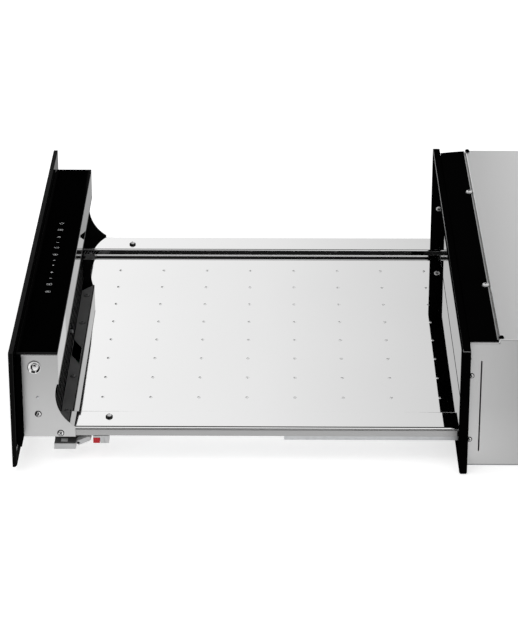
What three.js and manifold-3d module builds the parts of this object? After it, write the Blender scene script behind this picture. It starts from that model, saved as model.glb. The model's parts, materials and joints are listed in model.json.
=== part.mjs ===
// Built-in warming drawer, shown pulled out, in millimetres with +Z up.
// The front faces -Y. The origin is the centre of the cabinet's underside.
import * as THREE from "three";
import { mergeVertices } from "three/addons/utils/BufferGeometryUtils.js";
import Module from "manifold-3d";

const wasm = await Module();
wasm.setup();

// Gaps
const SEAT = 0.3; // between faces that touch
const RUN = 0.4; // round a pin or shaft that turns

// Cabinet
const FRONT_WIDTH = 595;
const CABINET_DEPTH = 550; // bezel face to back panel
const BODY_SIDE_INSET = 20.5; // front's edge to cabinet side
const BODY_HEIGHT = 146;
const SHEET = 1;
const BEZEL_DROP = 5; // cabinet top to bezel top
const BEZEL_THICKNESS = 8.2;
const BEZEL_RETURN = 3.8; // depth of the lip round the opening
const BEZEL_LIP = 2;
const BEZEL_REBATE = 0.2; // shallow seat for the cabinet in the bezel's back, less than SEAT
const OPENING_SIDE_MARGIN = 4.7; // drawer side to opening side
const OPENING_BOTTOM = 10;
const OPENING_TOP_MARGIN = 10;
const COVER_DEPTH = 29.6;
const COVER_STEP = 4.2; // drop of the top panel under the cover strip
const COVER_SCREW_X = 137.5;
const COVER_SCREW_SETBACK = 34;
const CORNER_BOLT_INSET = 2.5;
const CORNER_BOLT_SETBACK = 40.5;
const COVER_SCREW_RADIUS = 3.4;
const COVER_SCREW_HEIGHT = 2.7;
const SCREW_SLOT_WIDTH = 0.8;
const SCREW_SLOT_DEPTH = 0.8;
const CORNER_BOLT_RADIUS = 2;
const CORNER_BOLT_HEIGHT = 2.4;
const TAB_SLIT_SETBACK = 21;
const TAB_SLIT_WIDTH = 1.6;
const TAB_SLIT_BOTTOM = 17;
const TAB_SLIT_TOP_MARGIN = 25;

// Drawer
const OPEN_WALL_SETBACK = 7.9; // bezel face to the rear wall, pulled out
const DRAWER_SIDE_INSET = 10.7; // cabinet side to the front box's side plate
const CLOSED_GAP = 2; // fascia frame to bezel when shut
const GLASS_THICKNESS = 5;
const GLASS_BOTTOM = 6.1;
const GLASS_CHAMFER = 2.3; // ground edge at the bottom of the back
const GLASS_TOP_MARGIN = 3.4; // bezel top to glass top
const FRAME_THICKNESS = 4.5;
const FRAME_SIDE_INSET = 10;
const FRAME_BOTTOM = 24.9;
const FRAME_SHOULDER = 9.3; // drop of the frame's ends, beyond the front box
const BOX_DEPTH = 38;
const BOX_BOTTOM = 26.6;
const BOX_TOP_GAP = 9.7; // opening top to front box
const PLATE = 1.2;
const PLATE_TAIL = 16.3; // side plate behind the box
const CUT_RADIUS = 42.5; // concave cut in the side plate
const CUT_SETBACK = 38.7;
const CUT_DROP = 13.5; // recess ceiling to the cut's centre
const CUT_REACH = 36; // centre to foot
const CONTROL_GLASS = 2.6;
const RECESS_DEPTH = 14;
const STRIP_HEIGHT = 33.8; // steel strip over the recess
const VENT_NARROW_LOW = -102; // slanted vent in the recess ceiling
const VENT_WIDTH = 44;
const VENT_SLANT = 23;
const VENT_RIM = 1.6;
const DEFLECTOR_CHAMFER = 17;
const PLUG_SETBACK = 13.3; // round inspection plug in each side plate
const PLUG_DROP = 14.2;
const PLUG_RADIUS = 7;
const PLUG_HEIGHT = 1.3;
const PLUG_RIM = 1.6;
const PLUG_CROWN_RADIUS = 3.6;
const LOUVRE_COLUMNS = 6;
const LOUVRE_ROWS = 5;
const LOUVRE_MARGIN = 12;
const LOUVRE_BRIDGE = 10;
const LOUVRE_HEIGHT = 4;
const BOARD_LENGTH = 210;
const BOARD_MARGIN = 4;
const BOARD_DROP = 3.4; // below the control glass
const BOARD_THICKNESS = 1.6;
const POST_RADIUS = 2;

// Tray
const TRAY_REAR_ROOM = 87.4; // shut tray to back panel
const TRAY_FLOOR = 29;
const FLANGE_RISE = 7.4;
const FLANGE_WIDTH = 42.6;
const FLANGE_LIP = 2.2;
const STEP_SLOPE = 0.6;
const TRAY_SIDE_INSET = 0.7; // flange edge inside the side plate's outer face
const DIMPLE_ROW_PITCH = 50;
const DIMPLE_COLUMN_PITCH = 52.1;
const DIMPLE_END_MARGIN = 22.2;
const DIMPLE_SIDE_MARGIN = 40;
const DIMPLE_RADIUS = 2.2;
const DIMPLE_HEIGHT = 0.8;
const REAR_WALL_DROP = 2.3; // front box top to rear wall top
const REAR_WALL = 1.2;
const RAIL_HEIGHT = 8.6;
const RAIL_WIDTH = 14.3;
const TRAY_SCREW_SETBACK = 86.5;
const TRAY_SCREW_INSET = 26.8;
const TRAY_SCREW_RADIUS = 3.8;
const TRAY_SCREW_HEIGHT = 2.8;
const TRAY_SCREW_SOCKET = 1.5;
const SOCKET_DEPTH = 1.2;

// Slides, each a nest of three channels that open downwards
const SLIDE_INSET = 29.8; // side plate to slide centre
const SLIDE_WALL = 1.3;
const SLIDE_SIDE_GAP = 1.5;
const SLIDE_BALL_GAP = 2.5;
const RUNNER_WIDTH = 23;
const RUNNER_BOTTOM = 20;
const RUNNER_FRONT = 75;
const MEMBER_FRONT = 44.5;
const MEMBER_REAR_ROOM = 55.5;
const MEMBER_BOTTOM = 13.2;
const RAIL_GAP = 2; // shut front box to cabinet rail
const RAIL_REAR_ROOM = 65.7;
const FOOT_WIDTH = 8.8;
const CAGE_MIDDLE = 254;
const CAGE_LENGTH = 150;
const CAGE_WIDTH = 12;
const CAGE_THICKNESS = 0.8;
const BALL_GAP = 0.25;
const BALL_PITCH = 32;
const BALLS_PER_ROW = 5;

// Front slide couplings
const COUPLING_WIDTH = 17.3;
const COUPLING_FRONT = 29.5;
const COUPLING_LENGTH = 23;
const COUPLING_BOTTOM = 11.8;
const COUPLING_HEIGHT = 7;
const WEB = 2.7;
const WEB_LENGTH = 31;
const LEVER_PIVOT_HEIGHT = 17.2;
const LEVER_REACH = 10.4;
const LEVER_RISE = 4.6;
const LEVER_RADIUS = 2.6;
const LEVER_WIDTH = 10;
const PIN_RADIUS = 1.4;
const ADJUSTER_FRONT = 70.7;
const ADJUSTER_LENGTH = 7;
const ADJUSTER_HEIGHT = 6.2;
const ADJUSTER_WIDTH = 10;
const STOP_GAP = 0.4; // adjuster to stop block
const STOP_LENGTH = 9.3;
const STOP_HEIGHT = 8.5;
const STOP_ARM = 2; // thickness of the arm over the adjuster

// Fan and heater in the front box
const FAN_X = 0;
const FAN_RADIUS = 23.5;
const FAN_CLEARANCE = 2.3;
const MOTOR_RADIUS = 14;
const MOTOR_DEPTH = 7.5;
const SHAFT_RADIUS = 1.5;
const HUB_RADIUS = 6;
const BLADES = 9;
const HEATER_START = 42;
const HEATER_SIDE_ROOM = 38.8;
const HEATER_ROD = 3.2;
const HEATER_PITCH = 26;
const SENSOR_X = -60;
const SENSOR_RADIUS = 2.2;
const SENSOR_REACH = 3;
const SENSOR_LENGTH = 12;
const SENSOR_COLLAR = 4;
const HOUSING_WALL = 3.4;
const DISC_THICKNESS = 1.2;
const BLADE_THICKNESS = 1.4;
const BLADE_OFFSET = 4;
const BRACKET_WIDTH = 10;
const BRACKET_THICKNESS = 2;

// Back of the cabinet
const LATCH_HEIGHT = 60;
const LATCH_WIDTH = 24;
const LATCH_GAP = 1.2; // plunger tip behind the shut drawer
const LATCH_STROKE = 6;
const PLUNGER_RADIUS = 5;
const PLUNGER_LENGTH = 52;
const GLAND_INSET = 97; // cabinet side to gland
const GLAND_HEIGHT = 40;
const GLAND_RADIUS = 8;
const GLAND_FLANGE = 4; // how far flange and nut stand out past the neck
const GLAND_INSIDE = 12;
const CORD_BORE = 4;
const LATCH_EAR = 10;
const LATCH_EAR_THICKNESS = 2;
const POWER_BOARD_INSET = 62;
const POWER_BOARD_WIDTH = 95;
const POWER_BOARD_DEPTH = 58;
const POWER_BOARD_HEIGHT = 10;
const REAR_CLEARANCE = 12;
const TERMINAL_WIDTH = 44;
const TERMINAL_DEPTH = 22;
const TERMINAL_HEIGHT = 20;
const TERMINAL_SETBACK = 40;

// Places worked out from the sizes above. The drawer is built shut, and its group is pulled out.
const frontY = -CABINET_DEPTH / 2;
const backY = CABINET_DEPTH / 2;
const bodyX = FRONT_WIDTH / 2 - BODY_SIDE_INSET;
const drawerX = bodyX - DRAWER_SIDE_INSET;
const bezelTopZ = BODY_HEIGHT - BEZEL_DROP;
const openingTopZ = bezelTopZ - OPENING_TOP_MARGIN;
const boxTopZ = openingTopZ - BOX_TOP_GAP;
const recessTopZ = boxTopZ - STRIP_HEIGHT;
const rebateY = frontY + BEZEL_THICKNESS - BEZEL_REBATE;
const bodyFrontY = rebateY + SEAT;
const coverBackY = bodyFrontY + COVER_DEPTH;
const frameBackY = frontY - CLOSED_GAP;
const frameFrontY = frameBackY - FRAME_THICKNESS;
const glassBackY = frameFrontY - SEAT;
const boxFrontY = frameBackY + SEAT;
const boxBackY = boxFrontY + BOX_DEPTH;
const grilleY = boxBackY - RECESS_DEPTH;
const trayFrontY = grilleY + SEAT;
const trayBackY = backY - TRAY_REAR_ROOM;
const rearWallY = trayBackY + SEAT;
const flangeZ = TRAY_FLOOR + FLANGE_RISE;
const flangeX = drawerX - TRAY_SIDE_INSET;
const floorX = flangeX - FLANGE_WIDTH;
const railTopZ = flangeZ - SHEET - SEAT;
const railOuterX = flangeX - SHEET - SEAT;
const plateInnerX = drawerX - PLATE;
const boxInnerX = plateInnerX - SEAT;
const boxFloorZ = TRAY_FLOOR - SHEET - SEAT;
const underRailZ = railTopZ - RAIL_HEIGHT - SEAT;
const shutWallY = rearWallY + REAR_WALL;
const travel = rearWallY - frontY - OPEN_WALL_SETBACK;
const slideX = drawerX - SLIDE_INSET;
const fanZ = (boxFloorZ + recessTopZ) / 2;

const materials = {
  steel: finish(0xb9babb, 0.35, 1),
  mirrorSteel: finish(0xd8dadb, 0.12, 1),
  zinc: finish(0xa9abad, 0.45, 0.9),
  blackPaint: finish(0x0b0b0c, 0.4, 0.1),
  blackGlass: finish(0x050506, 0.05, 0),
  greyPlastic: finish(0x46484a, 0.5, 0),
  paleGrey: finish(0xb4b6b7, 0.5, 0),
  red: finish(0xc8202c, 0.4, 0),
  board: finish(0x1d5a36, 0.6, 0),
  dark: finish(0x1d1e20, 0.5, 0),
};

function finish(color, roughness, metalness) {
  return new THREE.MeshStandardMaterial({ color, roughness, metalness });
}

// A closed geometry as a solid that can be joined and cut.
function solid(geometry) {
  const source = geometry.index ? geometry.toNonIndexed() : geometry;
  const bare = new THREE.BufferGeometry();
  bare.setAttribute("position", source.getAttribute("position"));
  const merged = mergeVertices(bare, 1e-4);
  const shell = new wasm.Mesh({
    numProp: 3,
    vertProperties: merged.attributes.position.array,
    triVerts: new Uint32Array(merged.index.array),
  });
  return new wasm.Manifold(shell);
}

function box([x0, x1], [y0, y1], [z0, z1]) {
  const geometry = new THREE.BoxGeometry(x1 - x0, y1 - y0, z1 - z0);
  geometry.translate((x0 + x1) / 2, (y0 + y1) / 2, (z0 + z1) / 2);
  return solid(geometry);
}

function extrusion(points, from, to) {
  const shape = new THREE.Shape(points.map(([a, b]) => new THREE.Vector2(a, b)));
  const geometry = new THREE.ExtrudeGeometry(shape, { depth: to - from, bevelEnabled: false });
  return geometry.translate(0, 0, from);
}

// An outline of [y, z] points drawn out along X.
function alongX(points, from, to) {
  const turn = new THREE.Matrix4().set(0, 0, 1, 0, 1, 0, 0, 0, 0, 1, 0, 0, 0, 0, 0, 1);
  return solid(extrusion(points, from, to).applyMatrix4(turn));
}

// An outline of [x, z] points drawn out along Y.
function alongY(points, from, to) {
  const turn = new THREE.Matrix4().set(0, 1, 0, 0, 0, 0, 1, 0, 1, 0, 0, 0, 0, 0, 0, 1);
  const swapped = points.map(([x, z]) => [z, x]);
  return solid(extrusion(swapped, from, to).applyMatrix4(turn));
}

// An outline of [x, y] points drawn out along Z.
function alongZ(points, from, to) {
  return solid(extrusion(points, from, to));
}

// A round bar along one axis, its centre given by the two other coordinates in X, Y, Z order.
function bar(axis, [u, v], radius, [from, to], sides = 24) {
  const geometry = new THREE.CylinderGeometry(radius, radius, to - from, sides);
  const middle = (from + to) / 2;
  if (axis === "x") geometry.rotateZ(-Math.PI / 2).translate(middle, u, v);
  if (axis === "y") geometry.translate(u, middle, v);
  if (axis === "z") geometry.rotateX(Math.PI / 2).translate(u, v, middle);
  return solid(geometry);
}

function join(first, ...others) {
  return others.reduce((whole, piece) => whole.add(piece), first);
}

function cut(first, ...others) {
  return others.reduce((whole, piece) => whole.subtract(piece), first);
}

function arc([u, v], radius, start, end, steps) {
  return Array.from({ length: steps + 1 }, (_, i) => {
    const angle = start + ((end - start) * i) / steps;
    return [u + radius * Math.cos(angle), v + radius * Math.sin(angle)];
  });
}

function add(holder, name, body, material) {
  const shell = body.getMesh();
  const geometry = new THREE.BufferGeometry();
  geometry.setAttribute("position", new THREE.BufferAttribute(new Float32Array(shell.vertProperties), 3));
  geometry.setIndex(new THREE.BufferAttribute(new Uint32Array(shell.triVerts), 1));
  const mesh = new THREE.Mesh(geometry.toNonIndexed(), material.clone());
  mesh.geometry.computeVertexNormals();
  mesh.name = name;
  holder.add(mesh);
}

// ---- Cabinet ----

const openingX = drawerX + OPENING_SIDE_MARGIN;

function frontBezel() {
  const face = box(
    [-FRONT_WIDTH / 2, FRONT_WIDTH / 2],
    [frontY, frontY + BEZEL_THICKNESS],
    [SEAT, bezelTopZ],
  );
  const lip = box(
    [-openingX - BEZEL_LIP, openingX + BEZEL_LIP],
    [frontY + BEZEL_THICKNESS / 2, frontY + BEZEL_THICKNESS + BEZEL_RETURN],
    [OPENING_BOTTOM - BEZEL_LIP, openingTopZ + BEZEL_LIP],
  );
  const opening = box(
    [-openingX, openingX],
    [frontY - SHEET, frontY + BEZEL_THICKNESS + BEZEL_RETURN + SHEET],
    [OPENING_BOTTOM, openingTopZ],
  );
  const rebate = box(
    [-bodyX - SEAT, bodyX + SEAT],
    [rebateY, frontY + BEZEL_THICKNESS + SHEET],
    [0, bezelTopZ + SHEET],
  );
  return cut(join(cut(face, rebate), lip), opening);
}

// Drops by COVER_STEP at the front, where the cover strip lies on it.
function topPanel() {
  const step = coverBackY + SEAT;
  const low = BODY_HEIGHT - COVER_STEP;
  const outline = [
    [bodyFrontY, low - SHEET],
    [step + 2 * SHEET, low - SHEET],
    [step + 2 * SHEET, BODY_HEIGHT - SHEET],
    [backY, BODY_HEIGHT - SHEET],
    [backY, BODY_HEIGHT],
    [step + SHEET, BODY_HEIGHT],
    [step + SHEET, low],
    [bodyFrontY, low],
  ];
  return alongX(outline, -bodyX, bodyX);
}

function sidePanel() {
  const low = BODY_HEIGHT - COVER_STEP - SHEET - SEAT;
  const high = BODY_HEIGHT - SHEET - SEAT;
  const step = coverBackY + 2 * SHEET + 2 * SEAT;
  const back = backY - SHEET - SEAT;
  const outline = [
    [bodyFrontY, SHEET + SEAT],
    [back, SHEET + SEAT],
    [back, high],
    [step, high],
    [step, low],
    [bodyFrontY, low],
  ];
  const slitY = frontY + TAB_SLIT_SETBACK;
  const slit = box(
    [bodyX - 2 * SHEET, bodyX + SHEET],
    [slitY - TAB_SLIT_WIDTH / 2, slitY + TAB_SLIT_WIDTH / 2],
    [TAB_SLIT_BOTTOM, BODY_HEIGHT - TAB_SLIT_TOP_MARGIN],
  );
  return cut(alongX(outline, bodyX - SHEET, bodyX), slit);
}

function basePanel() {
  return box([-bodyX, bodyX], [bodyFrontY, backY], [0, SHEET]);
}

function backPanel() {
  const sheet = box(
    [-bodyX, bodyX],
    [backY - SHEET, backY],
    [SHEET + SEAT, BODY_HEIGHT - SHEET - SEAT],
  );
  const hole = bar("y", [glandX, GLAND_HEIGHT], GLAND_RADIUS + SEAT, [backY - 2 * SHEET, backY + SHEET]);
  return cut(sheet, hole);
}

const coverBottomZ = BODY_HEIGHT - COVER_STEP + SEAT;
const coverTopZ = BODY_HEIGHT - 2 * SEAT;

function coverStrip() {
  const outline = [
    [bodyFrontY, coverBottomZ],
    [coverBackY, coverBottomZ],
    [coverBackY, coverTopZ - 1.2],
    [coverBackY - 1.2, coverTopZ],
    [bodyFrontY + COVER_DEPTH / 2, coverTopZ - 1],
    [bodyFrontY, coverBottomZ + 0.7],
  ];
  return alongX(outline, -bodyX, bodyX);
}

function coverScrew() {
  const [x, y] = [COVER_SCREW_X, frontY + COVER_SCREW_SETBACK];
  const seat = coverTopZ + SEAT;
  const top = seat + COVER_SCREW_HEIGHT;
  const head = bar("z", [x, y], COVER_SCREW_RADIUS, [seat, top], 20);
  const halfLength = COVER_SCREW_RADIUS - 1;
  const halfWidth = SCREW_SLOT_WIDTH / 2;
  const slot = box(
    [x - halfLength, x + halfLength],
    [y - halfWidth, y + halfWidth],
    [top - SCREW_SLOT_DEPTH, top + 1],
  );
  return cut(head, slot);
}

function cornerBolt() {
  const centre = [bodyX - CORNER_BOLT_INSET, frontY + CORNER_BOLT_SETBACK];
  const seat = BODY_HEIGHT + SEAT;
  return bar("z", centre, CORNER_BOLT_RADIUS, [seat, seat + CORNER_BOLT_HEIGHT], 6);
}

// ---- Slides ----

function channel(width, bottom, top, wall) {
  const outer = width / 2;
  const inner = outer - wall;
  return [
    [slideX - outer, bottom],
    [slideX - inner, bottom],
    [slideX - inner, top - wall],
    [slideX + inner, top - wall],
    [slideX + inner, bottom],
    [slideX + outer, bottom],
    [slideX + outer, top],
    [slideX - outer, top],
  ];
}

const memberWidth = RUNNER_WIDTH - 2 * (SLIDE_WALL + SLIDE_SIDE_GAP);
const memberTopZ = railTopZ - SLIDE_WALL - SLIDE_BALL_GAP;
const cabinetRailWidth = memberWidth - 2 * (SLIDE_WALL + SLIDE_SIDE_GAP);
const cabinetRailTopZ = memberTopZ - SLIDE_WALL - SLIDE_BALL_GAP;

function slideRunner() {
  const outline = channel(RUNNER_WIDTH, RUNNER_BOTTOM, railTopZ, SLIDE_WALL);
  return alongY(outline, frontY + RUNNER_FRONT, trayBackY);
}

function slideMember() {
  const outline = channel(memberWidth, MEMBER_BOTTOM, memberTopZ, SLIDE_WALL);
  return alongY(outline, frontY + MEMBER_FRONT, backY - MEMBER_REAR_ROOM);
}

function slideRail() {
  const start = boxBackY + RAIL_GAP;
  const end = backY - RAIL_REAR_ROOM;
  const floor = SHEET + SEAT;
  const rail = alongY(channel(cabinetRailWidth, floor, cabinetRailTopZ, SLIDE_WALL), start, end);
  const outer = cabinetRailWidth / 2;
  const inner = outer - SLIDE_WALL / 2;
  const feet = [-1, 1].map((side) => {
    const ends = [slideX + side * inner, slideX + side * (outer + FOOT_WIDTH)];
    return box([Math.min(...ends), Math.max(...ends)], [start, end], [floor, floor + SLIDE_WALL]);
  });
  return join(rail, ...feet);
}

// A strip with two rows of balls, which runs in the gap above a channel.
function ballCage(channelTopZ) {
  const middleZ = channelTopZ + SLIDE_BALL_GAP / 2;
  const middleY = frontY + CAGE_MIDDLE;
  const strip = box(
    [slideX - CAGE_WIDTH / 2, slideX + CAGE_WIDTH / 2],
    [middleY - CAGE_LENGTH / 2, middleY + CAGE_LENGTH / 2],
    [middleZ - CAGE_THICKNESS / 2, middleZ + CAGE_THICKNESS / 2],
  );
  const balls = [];
  for (const side of [-1, 1]) {
    for (let i = 0; i < BALLS_PER_ROW; i++) {
      const ball = new THREE.SphereGeometry(SLIDE_BALL_GAP / 2 - BALL_GAP, 6, 4);
      ball.rotateX(Math.PI / 2);
      const y = middleY + (i - (BALLS_PER_ROW - 1) / 2) * BALL_PITCH;
      ball.translate(slideX + (side * CAGE_WIDTH) / 4, y, middleZ);
      balls.push(solid(ball));
    }
  }
  return join(strip, ...balls);
}

// ---- Front box ----

function fasciaGlass() {
  const faceY = glassBackY - GLASS_THICKNESS;
  const topZ = bezelTopZ - GLASS_TOP_MARGIN;
  const outline = [
    [faceY, GLASS_BOTTOM],
    [glassBackY - GLASS_CHAMFER, GLASS_BOTTOM],
    [glassBackY, GLASS_BOTTOM + GLASS_CHAMFER],
    [glassBackY, topZ],
    [faceY, topZ],
  ];
  return alongX(outline, -FRONT_WIDTH / 2, FRONT_WIDTH / 2);
}

function fasciaFrame() {
  const side = FRONT_WIDTH / 2 - FRAME_SIDE_INSET;
  const depth = [frameFrontY, frameBackY];
  const shoulderZ = boxTopZ - FRAME_SHOULDER;
  const plate = box([-side, side], depth, [FRAME_BOTTOM, shoulderZ]);
  return join(plate, box([-drawerX, drawerX], depth, [shoulderZ - 1, boxTopZ]));
}

function boxPlate() {
  const centre = [boxBackY + CUT_SETBACK, recessTopZ - CUT_DROP];
  const footZ = centre[1] - CUT_REACH;
  const low = Math.PI + Math.asin(CUT_REACH / CUT_RADIUS);
  const high = Math.PI - Math.asin(CUT_DROP / CUT_RADIUS);
  const outline = [
    [boxFrontY, BOX_BOTTOM],
    [boxBackY + PLATE_TAIL, BOX_BOTTOM],
    [boxBackY + PLATE_TAIL, footZ],
    ...arc(centre, CUT_RADIUS, low, high, 14),
    [boxBackY, recessTopZ],
    [boxBackY, boxTopZ],
    [boxFrontY, boxTopZ],
  ];
  return alongX(outline, plateInnerX, drawerX);
}

function boxFrontPanel() {
  return box([-boxInnerX, boxInnerX], [boxFrontY, boxFrontY + SHEET], [boxFloorZ - SHEET, boxTopZ]);
}

function boxBottomPanel() {
  return box(
    [-boxInnerX, boxInnerX],
    [boxFrontY + SHEET + SEAT, boxBackY],
    [boxFloorZ - SHEET, boxFloorZ],
  );
}

function boxStrip() {
  return box([-boxInnerX, boxInnerX], [boxBackY - SHEET, boxBackY], [recessTopZ, boxTopZ]);
}

// The recess ceiling: one end is chamfered, and a slanted vent lets warm air down.
function deflectorPanel() {
  const front = grilleY - SHEET;
  const back = boxBackY - SHEET - SEAT;
  const sheet = [
    [-boxInnerX + DEFLECTOR_CHAMFER, front],
    [boxInnerX, front],
    [boxInnerX, back],
    [-boxInnerX, back],
  ];
  const vent = [
    [VENT_NARROW_LOW, front + VENT_RIM],
    [VENT_NARROW_LOW + VENT_WIDTH, front + VENT_RIM],
    [VENT_NARROW_LOW + VENT_WIDTH + VENT_SLANT, back - VENT_RIM],
    [VENT_NARROW_LOW + VENT_SLANT, back - VENT_RIM],
  ];
  const opening = alongZ(vent, recessTopZ - SHEET, recessTopZ + 2 * SHEET);
  return cut(alongZ(sheet, recessTopZ, recessTopZ + SHEET), opening);
}

// A sheet with rows of louvre slots and a hole for the sensor.
function airGrille() {
  const bottom = boxFloorZ + SEAT;
  const top = recessTopZ - SEAT;
  const sheet = box([-boxInnerX, boxInnerX], [grilleY - SHEET, grilleY], [bottom, top]);
  const pitchX = (2 * boxInnerX - 2 * LOUVRE_MARGIN) / LOUVRE_COLUMNS;
  const pitchZ = (top - bottom - 2 * LOUVRE_MARGIN) / (LOUVRE_ROWS - 1);
  const half = (pitchX - LOUVRE_BRIDGE) / 2;
  const slots = [];
  for (let column = 0; column < LOUVRE_COLUMNS; column++) {
    for (let row = 0; row < LOUVRE_ROWS; row++) {
      const x = -boxInnerX + LOUVRE_MARGIN + (column + 0.5) * pitchX;
      const z = bottom + LOUVRE_MARGIN + row * pitchZ;
      if (Math.abs(SENSOR_X - x) < half && Math.abs(fanZ - z) < pitchZ / 2) continue;
      slots.push(box([x - half, x + half], [grilleY - 2 * SHEET, grilleY + SHEET], [z, z + LOUVRE_HEIGHT]));
    }
  }
  const through = [grilleY - 2 * SHEET, grilleY + SHEET];
  const hole = bar("y", [SENSOR_X, fanZ], SENSOR_RADIUS + SEAT, through, 12);
  return cut(sheet, ...slots, hole);
}

function controlGlass() {
  const bottom = boxTopZ + SEAT;
  return box([-drawerX, drawerX], [glassBackY + SEAT, boxBackY], [bottom, bottom + CONTROL_GLASS]);
}

// The board hangs on four posts that reach the underside of the control glass.
function controlBoard() {
  const half = BOARD_LENGTH / 2;
  const front = boxFrontY + BOARD_MARGIN;
  const back = boxBackY - BOARD_MARGIN;
  const top = boxTopZ - BOARD_DROP;
  const bottom = top - BOARD_THICKNESS;
  const board = box([-half, half], [front, back], [bottom, top]);
  const chips = [-60, 0, 60].map((x) =>
    box([x - 8, x + 8], [front + 8, front + 20], [bottom - 2.4, bottom + 1]),
  );
  const corner = 3 * POST_RADIUS;
  const posts = [];
  for (const x of [-half + corner, half - corner]) {
    for (const y of [front + corner, back - corner]) {
      posts.push(bar("z", [x, y], POST_RADIUS, [bottom, boxTopZ], 8));
    }
  }
  return join(board, ...chips, ...posts);
}

// ---- Fan, heater and sensor ----

const housingFrontY = boxFrontY + SHEET + MOTOR_DEPTH + SEAT;
const housingBackY = grilleY - SHEET - SEAT;

function fanHousing() {
  const half = FAN_RADIUS + FAN_CLEARANCE + HOUSING_WALL;
  const bottom = boxFloorZ + SEAT;
  const frame = box(
    [FAN_X - half, FAN_X + half],
    [housingFrontY, housingBackY],
    [bottom, recessTopZ - SEAT],
  );
  const bore = bar(
    "y",
    [FAN_X, fanZ],
    FAN_RADIUS + FAN_CLEARANCE,
    [housingFrontY - SHEET, housingBackY + SHEET],
    36,
  );
  return cut(frame, bore);
}

function fanMotor() {
  const start = boxFrontY + SHEET + SEAT;
  const centre = [FAN_X, fanZ];
  const can = bar("y", centre, MOTOR_RADIUS, [start, start + MOTOR_DEPTH - SEAT]);
  const bore = bar("y", centre, SHAFT_RADIUS + RUN, [start + 2, start + MOTOR_DEPTH + 1], 12);
  return cut(can, bore);
}

function fanImpeller() {
  const centre = [FAN_X, fanZ];
  const start = housingFrontY + SEAT;
  const end = housingBackY - 1;
  const shaft = bar("y", centre, SHAFT_RADIUS, [boxFrontY + SHEET + 3, start + 1], 12);
  const disc = bar("y", centre, FAN_RADIUS, [start, start + DISC_THICKNESS], 36);
  const hub = bar("y", centre, HUB_RADIUS, [start, end - 1], 18);
  const blades = [];
  for (let i = 0; i < BLADES; i++) {
    const blade = new THREE.BoxGeometry(FAN_RADIUS - HUB_RADIUS - 1, end - start, BLADE_THICKNESS);
    blade.translate((FAN_RADIUS + HUB_RADIUS - 2) / 2, (start + end) / 2, BLADE_OFFSET);
    blade.rotateY((2 * Math.PI * i) / BLADES);
    blade.translate(FAN_X, 0, fanZ);
    blades.push(solid(blade));
  }
  return join(disc, shaft, hub, ...blades);
}

// A hairpin rod held by two brackets that stand on the box floor.
function heaterElement() {
  const y = (housingFrontY + housingBackY) / 2;
  const lowZ = fanZ - HEATER_PITCH / 2;
  const highZ = fanZ + HEATER_PITCH / 2;
  const bend = boxInnerX - HEATER_SIDE_ROOM - HEATER_PITCH / 2;
  const corner = (x, z) => new THREE.Vector3(x, y, z);
  const path = new THREE.CurvePath();
  path.add(new THREE.LineCurve3(corner(HEATER_START, lowZ), corner(bend, lowZ)));
  path.add(new HalfTurn(corner(bend, fanZ), HEATER_PITCH / 2));
  path.add(new THREE.LineCurve3(corner(bend, highZ), corner(HEATER_START, highZ)));
  const ring = new THREE.Shape(arc([0, 0], HEATER_ROD, 0, 2 * Math.PI, 8).slice(0, 8).map(toVector));
  const rod = new THREE.ExtrudeGeometry(ring, { steps: 40, extrudePath: path, bevelEnabled: false });
  const brackets = [HEATER_START + 20, bend - 6].map((x) =>
    box(
      [x - BRACKET_THICKNESS / 2, x + BRACKET_THICKNESS / 2],
      [y - BRACKET_WIDTH / 2, y + BRACKET_WIDTH / 2],
      [boxFloorZ + SEAT, highZ + HEATER_ROD + BRACKET_THICKNESS],
    ),
  );
  return join(solid(rod), ...brackets);
}

function toVector([a, b]) {
  return new THREE.Vector2(a, b);
}

// Half a circle in a plane of constant Y, from the bottom over +X to the top.
class HalfTurn extends THREE.Curve {
  constructor(centre, radius) {
    super();
    this.centre = centre;
    this.radius = radius;
  }
  getPoint(t, target = new THREE.Vector3()) {
    const angle = (t - 0.5) * Math.PI;
    const { x, y, z } = this.centre;
    return target.set(x + this.radius * Math.cos(angle), y, z + this.radius * Math.sin(angle));
  }
}

function temperatureSensor() {
  const centre = [SENSOR_X, fanZ];
  const back = grilleY - SHEET - SEAT;
  const probe = bar("y", centre, SENSOR_RADIUS, [back - SENSOR_LENGTH, grilleY + SENSOR_REACH], 12);
  const collar = bar("y", centre, 2 * SENSOR_RADIUS, [back - SENSOR_COLLAR, back], 12);
  return join(probe, collar);
}

// ---- Tray ----

function drawerTray() {
  const top = flangeZ;
  const half = [
    [floorX, TRAY_FLOOR],
    [floorX + STEP_SLOPE, top],
    [flangeX, top],
    [flangeX, top - FLANGE_LIP],
    [flangeX - SHEET, top - FLANGE_LIP],
    [flangeX - SHEET, top - SHEET],
    [floorX + STEP_SLOPE + SHEET, top - SHEET],
    [floorX + SHEET, TRAY_FLOOR - SHEET],
  ];
  const mirrored = half.map(([x, z]) => [-x, z]).reverse();
  const sheet = alongY([...half, ...mirrored], trayFrontY, trayBackY);
  const lipStart = boxBackY + PLATE_TAIL + SEAT;
  const trims = [-1, 1].map((side) => {
    const ends = [side * boxInnerX, side * (drawerX + SHEET)];
    return box(
      [Math.min(...ends), Math.max(...ends)],
      [trayFrontY - SHEET, lipStart],
      [TRAY_FLOOR, top + SHEET],
    );
  });
  return join(cut(sheet, ...trims), ...dimples());
}

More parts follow.
